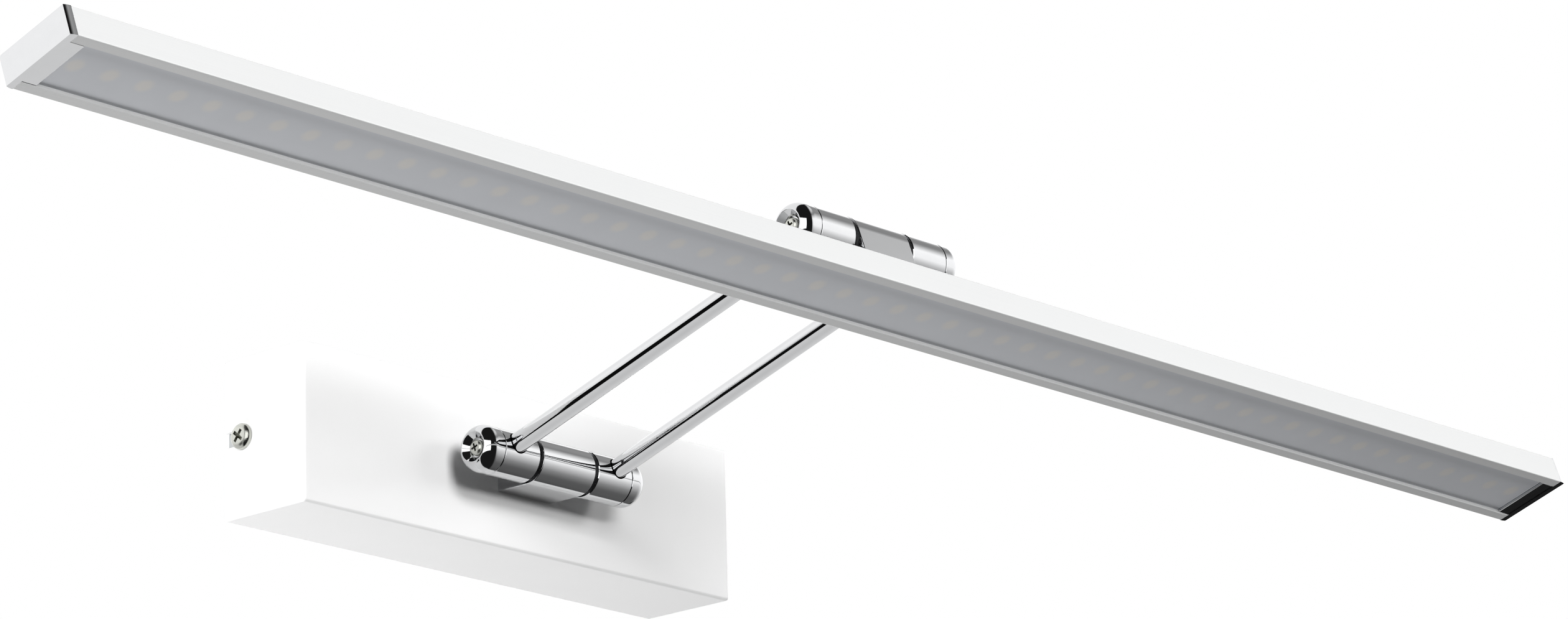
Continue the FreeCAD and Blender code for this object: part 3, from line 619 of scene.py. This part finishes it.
def cross_recess(reach, depth, x_face):
    """The tapered cross that a driver turns, as a cutting tool sunk along +X from x_face."""
    bm = bmesh.new()
    half = reach * 0.25
    mouth_scale = 1.1
    tip_scale = 0.5
    outline = []
    for quarter in range(4):
        angle = math.radians(90 * quarter)
        for y, z in ((reach, -half), (reach, half), (half, half)):
            outline.append((y * math.cos(angle) - z * math.sin(angle),
                            y * math.sin(angle) + z * math.cos(angle)))
    top = [bm.verts.new((x_face - 1, y * mouth_scale, z * mouth_scale)) for y, z in outline]
    tip = [bm.verts.new((x_face + depth, y * tip_scale, z * tip_scale)) for y, z in outline]
    count = len(outline)
    for step in range(count):
        after = (step + 1) % count
        bm.faces.new((top[step], top[after], tip[after], tip[step]))
    bm.faces.new(top)
    bm.faces.new(list(reversed(tip)))
    return mesh_object(bm, "recess")


def pan_screw(name, radius, length, head_radius, head_height):
    """A pan-head cross-recess screw along +X, with the underside of its head at x = 0."""
    crown_height = head_height * 0.75
    crown_width = head_radius * 0.5
    outline = [(-head_height, 0)]
    for step in range(13):
        angle = math.radians(7.5 * step)
        outline.append((-head_height + crown_height * (1 - math.cos(angle)),
                        head_radius - crown_width * (1 - math.sin(angle))))
    head_edge = 0.12
    outline += [(-head_edge, head_radius), (0, head_radius - head_edge), (0, radius)]
    pitch = radius * 0.42
    root_radius = radius * 0.86
    x = 0.4
    while x < length - radius:
        outline.append((x, radius))
        outline.append((x + pitch * 0.5, root_radius))
        x += pitch
    outline += [(length - radius * 0.3, root_radius), (length, radius * 0.5), (length, 0)]
    screw = turned(name, outline, 64)
    cut(screw, [cross_recess(head_radius * 0.62, head_height * 0.85, -head_height)])
    return smooth(screw, SCREW_SOFT_DEG)


# ---- hinge hardware, axis on X and foot towards +Y -----------------------------------------------

def knuckle(name):
    """The middle barrel, flat-sided down to its foot, with softened edges and its bores."""
    radius = BARREL_RADIUS
    outline = arc((0, 0), radius, 90, 270, 64)
    outline += [(AXIS_TO_FACE, -radius), (AXIS_TO_FACE, radius)]
    body = prism(name, outline, -KNUCKLE_HALF, KNUCKLE_HALF)
    edged(body, GROOVE_CHAMFER, 3)
    cut(body, [pin("bore", AXLE_RADIUS + 0.06, (-KNUCKLE_HALF - 1, 0, 0), (KNUCKLE_HALF + 1, 0, 0), 64)])
    cut(body, [pin("lead_bore", LEAD_BORE_RADIUS, (0, 1, 0), (0, AXIS_TO_FACE + 1, 0))])
    weighted(smooth(body))
    return true_round(body, radius)


def swivel(name):
    """The right-hand swivel barrel, with its flared rod socket towards -Y."""
    chamfer = GROOVE_CHAMFER
    outline = [
        (SWIVEL_INNER, AXLE_RADIUS),
        (SWIVEL_INNER, BARREL_RADIUS - chamfer),
        (SWIVEL_INNER + chamfer, BARREL_RADIUS),
        (SWIVEL_OUTER - GROOVE_HALF - GROOVE_EDGE, BARREL_RADIUS),
        (SWIVEL_OUTER - GROOVE_HALF, BARREL_RADIUS - GROOVE_EDGE),
        (SWIVEL_OUTER - GROOVE_HALF, BARREL_RADIUS - GROOVE_DEPTH),
        (SWIVEL_OUTER, BARREL_RADIUS - GROOVE_DEPTH),
        (SWIVEL_OUTER, AXLE_RADIUS),
    ]
    body = smooth(turned(name, outline))
    narrow = ROD_RADIUS + SOCKET_GAP
    flare = narrow + SOCKET_FLARE
    mouth = BARREL_RADIUS - ROD_RADIUS ** 2 / BARREL_RADIUS
    socket = turned("socket", [(ROD_END_FROM_AXIS, 0), (ROD_END_FROM_AXIS, narrow), (mouth - 0.2, narrow),
                               (mouth + 0.9, flare), (BARREL_RADIUS + 1, flare), (BARREL_RADIUS + 1, 0)], 96)
    socket.data.transform(Matrix.Translation((ROD_X * MM, 0, 0)) @ Matrix.Rotation(-math.pi / 2, 4, "Z"))
    cut(body, [socket])
    return true_round(smooth(body), BARREL_RADIUS)


def end_cap(name):
    """The right-hand dome with its conical recess for the screw head, and half of the groove beside it."""
    dome_start = CAP_TIP - CAP_DOME_RADIUS
    ring_radius = BARREL_RADIUS - CAP_DOME_RADIUS
    rim_deg = math.degrees(math.asin((CAP_RIM_RADIUS - ring_radius) / CAP_DOME_RADIUS))
    inward_deg = CAP_CONE_DEG - 90
    dome_end = rim_deg + 5
    round_centre = (dome_start + (CAP_DOME_RADIUS - RIM_ROUND) * math.cos(math.radians(dome_end)),
                    ring_radius + (CAP_DOME_RADIUS - RIM_ROUND) * math.sin(math.radians(dome_end)))
    outline = [
        (SWIVEL_OUTER, AXLE_RADIUS),
        (SWIVEL_OUTER, BARREL_RADIUS - GROOVE_DEPTH),
        (SWIVEL_OUTER + GROOVE_HALF, BARREL_RADIUS - GROOVE_DEPTH),
        (SWIVEL_OUTER + GROOVE_HALF, BARREL_RADIUS - GROOVE_EDGE),
        (SWIVEL_OUTER + GROOVE_HALF + GROOVE_EDGE, BARREL_RADIUS),
    ]
    outline += arc((dome_start, ring_radius), CAP_DOME_RADIUS, 90, dome_end, 28)
    outline += arc(round_centre, RIM_ROUND, dome_end, inward_deg, 10)[1:]
    cone_depth = (outline[-1][1] - CAP_SEAT_RADIUS) / math.tan(math.radians(CAP_CONE_DEG))
    outline += [
        (outline[-1][0] - cone_depth, CAP_SEAT_RADIUS),
        (CAP_SEAT, CAP_SEAT_RADIUS),
        (CAP_SEAT, 1.5),
        (AXLE_END, 1.5),
        (AXLE_END, AXLE_RADIUS),
    ]
    cap = smooth(turned(name, outline), DOME_SOFT_DEG)
    return groove_painted_shade(cap)


def groove_painted_shade(cap):
    """Paints the bottom of the groove black, as painted shade for the dark deep in the narrow groove."""
    mesh = cap.data
    mesh.materials.append(FINISHES["chrome"])
    # Painted shade: the groove floor faces get the black finish.
    mesh.materials.append(FINISHES["black_polymer"])
    floor_radius = (BARREL_RADIUS - GROOVE_DEPTH) * MM
    for face in mesh.polygons:
        middle = face.center
        if abs(math.hypot(middle.y, middle.z) - floor_radius) < 0.02 * MM and abs(face.normal.x) < 0.5:
            face.material_index = 1
    return cap


def cap_screws(name):
    """The two small screws, one in the recess of each dome."""
    screws = []
    for side in (-1, 1):
        screw = pan_screw("screw", radius=1.5, length=7.0, head_radius=2.3, head_height=1.5)
        screw.data.transform(Matrix.Translation((-CAP_SEAT * MM, 0, 0)))
        if side > 0:
            screw.data.transform(Matrix.Rotation(math.pi, 4, "Z"))
        screws.append(screw)
    return smooth(joined(name, screws), SCREW_SOFT_DEG)


def build_hinge(prefix, origin, knuckle_body, foot_angle, rod_angle):
    """One complete hinge, turned about X so that its foot and its rod sockets point the right way."""
    body = knuckle(prefix + "_barrel")
    body.matrix_world = about_x(foot_angle, origin)
    piece(body, knuckle_body, "chrome", prefix + "_knuckle")
    screws = cap_screws(prefix + "_end_screws")
    screws.matrix_world = about_x(rod_angle, origin)
    piece(screws, "arm", "nickel_steel", prefix + "_cap_screws")
    for side in ("right", "left"):
        barrel = swivel("%s_side_barrel_%s" % (prefix, side))
        dome = end_cap("%s_dome_%s" % (prefix, side))
        for obj in (barrel, dome):
            if side == "left":
                mirrored(obj)
                smooth(obj, DOME_SOFT_DEG)
            obj.matrix_world = about_x(rod_angle, origin)
        true_round(barrel, BARREL_RADIUS)
        piece(barrel, "arm", "chrome", "%s_swivel_%s" % (prefix, side))
        piece(dome, "arm", "chrome", "%s_cap_%s" % (prefix, side))


def build_rods():
    """The two chromed tubes, from socket to socket, with rounded ends."""
    start = ROD_END_FROM_AXIS
    end = (UPPER_AXIS - LOWER_AXIS).length / MM - ROD_END_FROM_AXIS
    edge = 0.3
    outline = [(start, ROD_BORE_RADIUS)]
    outline += [(start, ROD_RADIUS - edge), (start + edge, ROD_RADIUS)]
    outline += [(end - edge, ROD_RADIUS), (end, ROD_RADIUS - edge)]
    outline += [(end, ROD_BORE_RADIUS)]
    turn = Vector((1, 0, 0)).rotation_difference(ARM_DIRECTION).to_matrix().to_4x4()
    for side, name in ((1, "right"), (-1, "left")):
        tube = smooth(turned("tube_" + name, outline))
        tube.matrix_world = Matrix.Translation(LOWER_AXIS + Vector((side * ROD_X * MM, 0, 0))) @ turn
        piece(tube, "arm", "chrome", "rod_" + name)


# ---- wall box ------------------------------------------------------------------------------------

def build_box():
    """The white cover: rounded outside edges, open at the wall, notched for the side screws."""
    low, high = (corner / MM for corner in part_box("cover_box"))
    bm = bmesh.new()
    add_prism(bm, rectangle(low.y, high.y, low.z, high.z), low.x, high.x)
    edges = [edge for edge in bm.edges if sum(v.co.y for v in edge.verts) / 2 < high.y - 1e-4]
    bmesh.ops.bevel(bm, geom=edges, offset=BOX_EDGE_RADIUS, segments=6, profile=0.5, affect="EDGES")
    shell = mesh_object(bm, "box_shell")
    wall = BOX_WALL
    cut(shell, [slab("inside", low.x + wall, high.x - wall, low.y + wall, high.y + 1,
                     low.z + wall, high.z - wall)])
    screw_low, screw_high = (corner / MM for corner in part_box("cover_screws"))
    screw_y = (screw_low.y + screw_high.y) / 2
    outline = arc((screw_y, 0), NOTCH_HALF, 90, 270, 24)
    outline += [(high.y + 1, -NOTCH_HALF), (high.y + 1, NOTCH_HALF)]
    cut(shell, [prism("notch", outline, low.x - 1, low.x + 3),
                prism("notch", outline, high.x - 3, high.x + 1)])
    hinge_holes = []
    for x, radius in ((-FOOT_SCREW_X, BOX_SCREW_HOLE_RADIUS), (0, BOX_LEAD_HOLE_RADIUS),
                      (FOOT_SCREW_X, BOX_SCREW_HOLE_RADIUS)):
        hinge_holes.append(pin("hole", radius, (x, low.y - 1, 0), (x, low.y + wall + 1, 0)))
    cut(shell, hinge_holes)
    weighted(smooth(shell))
    piece(shell, "wall_box", "white_powder", "cover_box")

    screws = []
    for side in (-1, 1):
        screw = pan_screw("screw", radius=2.0, length=8.0, head_radius=3.65, head_height=1.9)
        screw.data.transform(Matrix.Rotation(SIDE_SCREW_TURN, 4, "X"))
        screw.data.transform(Matrix.Translation((low.x * MM, screw_y * MM, 0)))
        if side > 0:
            mirrored(screw)
        screws.append(screw)
    both = smooth(joined("side_screws", screws), SCREW_SOFT_DEG)
    piece(both, "wall_box", "nickel_steel", "cover_screws")


# ---- LED bar, modelled with its top face on z = 0 and +Y towards the wall ------------------------

def profile_outline():
    """The U section with rounded outside corners and bevelled lips."""
    half = HEAD_WIDTH / 2
    bottom = -HEAD_HEIGHT
    radius = PROFILE_EDGE_RADIUS
    lip_inner = half - LIP_WIDTH
    wall_inner = half - PROFILE_WALL
    lip_top = bottom + LIP_THICKNESS
    right = arc((half - radius, -radius), radius, 90, 0, 5)
    right += arc((half - radius, bottom + radius), radius, 0, -90, 5)
    right += [(lip_inner + LIP_BEVEL, bottom), (lip_inner, bottom + LIP_BEVEL), (lip_inner, lip_top)]
    right += [(wall_inner, lip_top), (wall_inner, -PROFILE_WEB)]
    left = [(-y, z) for y, z in reversed(right)]
    return right + left


def build_profile():
    x_end = HEAD_LENGTH / 2 - END_PLATE
    body = prism("bar_profile", profile_outline(), -x_end, x_end)
    holes = []
    for x, radius in ((-FOOT_SCREW_X, PROFILE_SCREW_HOLE_RADIUS), (0, LEAD_BORE_RADIUS),
                      (FOOT_SCREW_X, PROFILE_SCREW_HOLE_RADIUS)):
        holes.append(pin("hole", radius, (x, 0, 1), (x, 0, -PROFILE_WEB - 1)))
    cut(body, holes)
    weighted(smooth(body))
    body.matrix_world = HEAD_PLACE
    piece(body, "light_bar", "satin_aluminium", "head_profile")


def build_diffuser():
    half = HEAD_WIDTH / 2 - PROFILE_WALL - 0.1
    z_low = -HEAD_HEIGHT + LIP_THICKNESS
    x_end = HEAD_LENGTH / 2 - END_PLATE - END_TONGUE - 0.1
    strip = slab("frosted_strip", -x_end, x_end, -half, half, z_low, z_low + DIFFUSER_THICKNESS)
    edged(strip, 0.12, 2)
    strip.matrix_world = HEAD_PLACE
    piece(strip, "light_bar", "frosted_acrylic", "diffuser")


def build_board():
    """The white board that carries the LEDs, with its lead hole."""
    x_end = HEAD_LENGTH / 2 - END_PLATE - END_TONGUE - 1.0
    half = BOARD_WIDTH / 2
    top = -PROFILE_WEB
    bottom = top - BOARD_THICKNESS
    board = slab("led_strip_board", -x_end, x_end, -half, half, bottom, top)
    cut(board, [pin("hole", BOARD_LEAD_HOLE_RADIUS, (0, 0, top + 1), (0, 0, bottom - 1))])
    edged(board, 0.08, 2)
    board.matrix_world = HEAD_PLACE
    piece(board, "light_bar", "board_white", "led_board")


def build_chips():
    """The LEDs: white packages, each with a sunk phosphor window on its underside."""
    bm = bmesh.new()
    half = LED_SIZE / 2
    top = -PROFILE_WEB - BOARD_THICKNESS
    for index in range(LED_COUNT):
        x = (index - (LED_COUNT - 1) / 2) * LED_PITCH
        add_prism(bm, rectangle(-half, half, top - LED_HEIGHT, top), x - half, x + half)
    bmesh.ops.recalc_face_normals(bm, faces=bm.faces)
    upright = [e for e in bm.edges if abs(e.verts[0].co.z - e.verts[1].co.z) > LED_HEIGHT * 0.9]
    bmesh.ops.bevel(bm, geom=upright, offset=0.25, segments=2, profile=0.5, affect="EDGES")
    bm.faces.ensure_lookup_table()
    windows = [f for f in bm.faces if f.normal.z < -0.9]
    bmesh.ops.inset_individual(bm, faces=windows, thickness=0.35, depth=-0.12)
    for face in windows:
        face.material_index = 1
    chips = mesh_object(bm, "led_packages")
    chips.data.materials.append(FINISHES["board_white"])
    chips.data.materials.append(FINISHES["led_phosphor"])
    smooth(chips)
    chips.matrix_world = HEAD_PLACE
    piece(chips, "light_bar", "led_phosphor", "led_chips")


def end_cap_of_bar(name):
    """The right-hand end: a plate with crowned front and back edges, and a tongue on its inner side."""
    half = HEAD_WIDTH / 2
    x_outer = HEAD_LENGTH / 2
    x_inner = x_outer - END_PLATE
    crown = []
    for step in range(9):
        share = step / 8
        crown.append((x_inner + (END_PLATE - 0.1) * share, half - END_CROWN * share ** 2))
    crown.append((x_outer, half - END_CROWN - 0.1))
    outline = crown + [(x, -y) for x, y in reversed(crown)]
    plate = prism("plate", outline, -HEAD_HEIGHT, 0)
    plate.data.transform(Matrix(((0, 1, 0, 0), (0, 0, 1, 0), (1, 0, 0, 0), (0, 0, 0, 1))))
    x_tongue = x_inner - END_TONGUE
    lip_inner = half - LIP_WIDTH - 0.1
    wall_inner = half - PROFILE_WALL - 0.1
    lip_top = -HEAD_HEIGHT + LIP_THICKNESS + 0.1
    low = -HEAD_HEIGHT + 0.2
    high = -PROFILE_WEB - 0.1
    outline = [(-lip_inner, low), (lip_inner, low), (lip_inner, lip_top), (wall_inner, lip_top),
               (wall_inner, high), (-wall_inner, high), (-wall_inner, lip_top), (-lip_inner, lip_top)]
    tongue = prism("tongue", outline, x_tongue, x_inner + 0.5)
    edged(tongue, 0.15, 2)
    return weighted(smooth(joined(name, [plate, tongue])))


def build_bar_ends():
    for side in ("right", "left"):
        cap = end_cap_of_bar("bar_end_" + side)
        if side == "left":
            weighted(smooth(mirrored(cap)))
        cap.matrix_world = HEAD_PLACE
        piece(cap, "light_bar", "chrome", "head_end_cap_" + side)


# ---- studio --------------------------------------------------------------------------------------

def build_camera():
    """Low, from the front left, with a long lens."""
    data = bpy.data.cameras.new("camera")
    data.lens = 140.05
    data.sensor_width = 36
    data.clip_start = 0.05
    data.clip_end = 60
    camera = bpy.data.objects.new("camera", data)
    forward = Vector((0.72147, 0.63343, 0.27973)).normalized()
    up = Vector((-0.19305, -0.20396, 0.95976)).normalized()
    right = forward.cross(up).normalized()
    up = right.cross(forward)
    turn = Matrix((right, up, -forward)).transposed().to_4x4()
    camera.matrix_world = Matrix.Translation((-1.19106, -1.1752, -0.43467)) @ turn
    bpy.context.scene.collection.objects.link(camera)
    bpy.context.scene.camera = camera


def build_floor():
    """A plain pale floor, well below the light."""
    bm = bmesh.new()
    bmesh.ops.create_grid(bm, x_segments=8, y_segments=8, size=6.0 / MM)
    floor = mesh_object(bm, "floor")
    floor.location = (0, 0, FLOOR_Z)
    surface = Surface("floor_paper", Specular_IOR_Level=0.1, Emission_Color=(1, 1, 1, 1),
                      Emission_Strength=0.68)
    surface.colour(surface.ramp(surface.noise(3, detail=3), around((0.22, 0.22, 0.22), 0.01)))
    surface.roughness(surface.spread(surface.noise(40), 0.75, 0.9))
    floor.data.materials.append(surface.material)
    floor.visible_glossy = False
    floor.visible_diffuse = False


def area_light(name, place, target, size, power):
    data = bpy.data.lights.new(name, "AREA")
    data.shape = "SQUARE"
    data.size = size
    data.energy = power
    light = bpy.data.objects.new(name, data)
    light.location = place
    light.rotation_euler = (Vector(target) - Vector(place)).to_track_quat("-Z", "Y").to_euler()
    light.visible_glossy = False
    light.visible_camera = False
    bpy.context.scene.collection.objects.link(light)


def direction(azimuth_deg, rise_deg):
    """A unit vector by azimuth and elevation. Azimuth 0 is towards the wall, and 90 to the right."""
    azimuth, rise = math.radians(azimuth_deg), math.radians(rise_deg)
    return Vector((math.sin(azimuth) * math.cos(rise), math.cos(azimuth) * math.cos(rise), math.sin(rise)))


class Sky(Nodes):
    """A studio surround in the world shader, painted as soft-edged panels by azimuth and elevation."""

    def __init__(self, ground):
        world = bpy.data.worlds.new("studio")
        bpy.context.scene.world = world
        world.use_nodes = True
        super().__init__(world.node_tree)
        self.tree.nodes.clear()
        self.ray = self.add("ShaderNodeTexCoord").outputs["Generated"]
        self.rise = self.math("ARCSINE", self.along((0, 0, 1)))
        self.value = ground

    def along(self, heading):
        """How far a ray points along a unit vector, from -1 to 1."""
        node = self.add("ShaderNodeVectorMath", operation="DOT_PRODUCT")
        self.link(self.ray, node.inputs[0])
        node.inputs[1].default_value = heading
        return node.outputs["Value"]

    def turn_from(self, azimuth_deg):
        """A ray's azimuth from a given one, in radians."""
        ahead = self.along(direction(azimuth_deg, 0))
        aside = self.along(direction(azimuth_deg + 90, 0))
        return self.math("ARCTAN2", aside, ahead)

    def step(self, value, start_deg, end_deg):
        node = self.add("ShaderNodeMapRange", interpolation_type="SMOOTHSTEP")
        self.link(value, node.inputs["Value"])
        node.inputs["From Min"].default_value = math.radians(start_deg)
        node.inputs["From Max"].default_value = math.radians(end_deg)
        return node.outputs["Result"]

    def paint(self, brightness, mask):
        """Lays a brightness over what is there, where the mask is 1."""
        node = self.add("ShaderNodeMix", data_type="FLOAT")
        self.link(mask, node.inputs[0])
        self.feed(self.value, node.inputs[2])
        self.feed(brightness, node.inputs[3])
        self.value = node.outputs[0]

    def sector(self, azimuths, rises, soft):
        """The mask of a range of azimuths and elevations with soft edges; all in degrees."""
        centre = (azimuths[0] + azimuths[1]) / 2
        half = (azimuths[1] - azimuths[0]) / 2
        side_edge = soft[0] / 2
        rise_edge = soft[1] / 2
        turn = self.math("ABSOLUTE", self.turn_from(centre))
        inside = self.step(turn, half + side_edge, half - side_edge)
        above = self.step(self.rise, rises[0] - rise_edge, rises[0] + rise_edge)
        below = self.step(self.rise, rises[1] + rise_edge, rises[1] - rise_edge)
        return self.math("MULTIPLY", self.math("MULTIPLY", inside, above), below)

    def panel(self, brightness, azimuths, rises, soft):
        self.paint(brightness, self.sector(azimuths, rises, soft))

    def disc(self, azimuth_deg, rise_deg, radius_deg, soft_deg):
        """The mask of everything within an angle of one direction."""
        angle = self.math("ARCCOSINE", self.along(direction(azimuth_deg, rise_deg)))
        return self.step(angle, radius_deg + soft_deg / 2, radius_deg - soft_deg / 2)

    def graded(self, stops, mask):
        """Paints a brightness that follows elevation, from (elevation, brightness) stops."""
        height = self.math("ADD", self.math("DIVIDE", self.rise, math.pi), 0.5)
        ramp = self.add("ShaderNodeValToRGB")
        self.link(height, ramp.inputs["Fac"])
        elements = ramp.color_ramp.elements
        while len(elements) < len(stops):
            elements.new(0.5)
        for element, (elevation, brightness) in zip(elements, stops):
            element.position = elevation / 180 + 0.5
            element.color = (brightness, brightness, brightness, 1)
        self.paint(ramp.outputs["Color"], mask)

    def finish(self, seen, even, mirrored):
        """Mirror-like rays see the panels, diffuse rays an even light, and the camera a white ground."""
        def background(strength):
            node = self.add("ShaderNodeBackground")
            node.inputs["Color"].default_value = (1, 1, 1, 1)
            self.feed(strength, node.inputs["Strength"])
            return node.outputs[0]

        def mixed(amount, first, second):
            node = self.add("ShaderNodeMixShader")
            for socket, source in zip(node.inputs, (amount, first, second)):
                self.link(source, socket)
            return node.outputs[0]

        rays = self.add("ShaderNodeLightPath")
        panels = background(self.math("MULTIPLY", self.value, mirrored))
        result = mixed(rays.outputs["Is Glossy Ray"], background(even), panels)
        result = mixed(rays.outputs["Is Camera Ray"], result, background(seen))
        self.link(result, self.add("ShaderNodeOutputWorld").inputs["Surface"])


def build_surround():
    """What the polished parts mirror: a dark room in front, one softbox and pale card elsewhere."""
    sky = Sky(ground=0.010)
    right_card = [(-62, 0.012), (-50, 0.08), (-42, 0.11), (-28, 0.26), (-9, 0.62), (6, 1.02), (27, 1.08),
                  (34, 0.72), (42, 0.24), (47, 0.30), (53, 0.60), (62, 0.80)]
    sky.graded(right_card, sky.disc(105, 5, 58, 12))
    sky.panel(0.012, (65, 79), (-39, -26), (4, 4))
    wall_card = [(-76, 0.58), (-50, 0.64), (-12, 0.66), (5, 0.90), (22, 0.99), (42, 0.87)]
    left_of_right_card = sky.sector((-120, 66), (-95, 95), (3, 2))
    sky.graded(wall_card, sky.math("MULTIPLY", left_of_right_card, sky.disc(-2, 0, 80, 3)))
    sky.panel(0.004, (-74, -50), (-38, -4), (2, 2))
    sky.panel(1.40, (-150, -92), (-14, 28), (2, 2))
    sky.finish(seen=1.0, even=0.05, mirrored=1.43)


def build_lights():
    middle = Vector((0, -0.05, 0))

    def beside(azimuth_deg, rise_deg):
        return middle + direction(azimuth_deg, rise_deg) * LIGHT_DISTANCE

    area_light("key", beside(-160, 15), middle, 0.7, 28)
    area_light("second", beside(145, 14), middle, 0.5, 7)
    area_light("left_softbox", beside(-80, 10), middle, 0.9, 20)
    area_light("low_card", (-0.25, 0.30, -0.70), (-0.1, -0.05, 0), 0.6, 9.8)
    area_light("right_fill", beside(82, 14), middle, 0.9, 13)
    area_light("rear_card", beside(20, 38), middle, 1.0, 14)


# ---- the scene -----------------------------------------------------------------------------------

finish_cad_nodes()
build_box()
build_hinge("lower", LOWER_AXIS, "wall_box", 0.0, -ARM_RISE)
build_hinge("upper", UPPER_AXIS, "light_bar", -math.pi / 2 - HEAD_TILT, math.pi - ARM_RISE)
build_rods()
build_profile()
build_diffuser()
build_board()
build_chips()
build_bar_ends()
build_floor()
build_lights()
build_surround()
build_camera()
bpy.context.scene.view_settings.view_transform = "Standard"
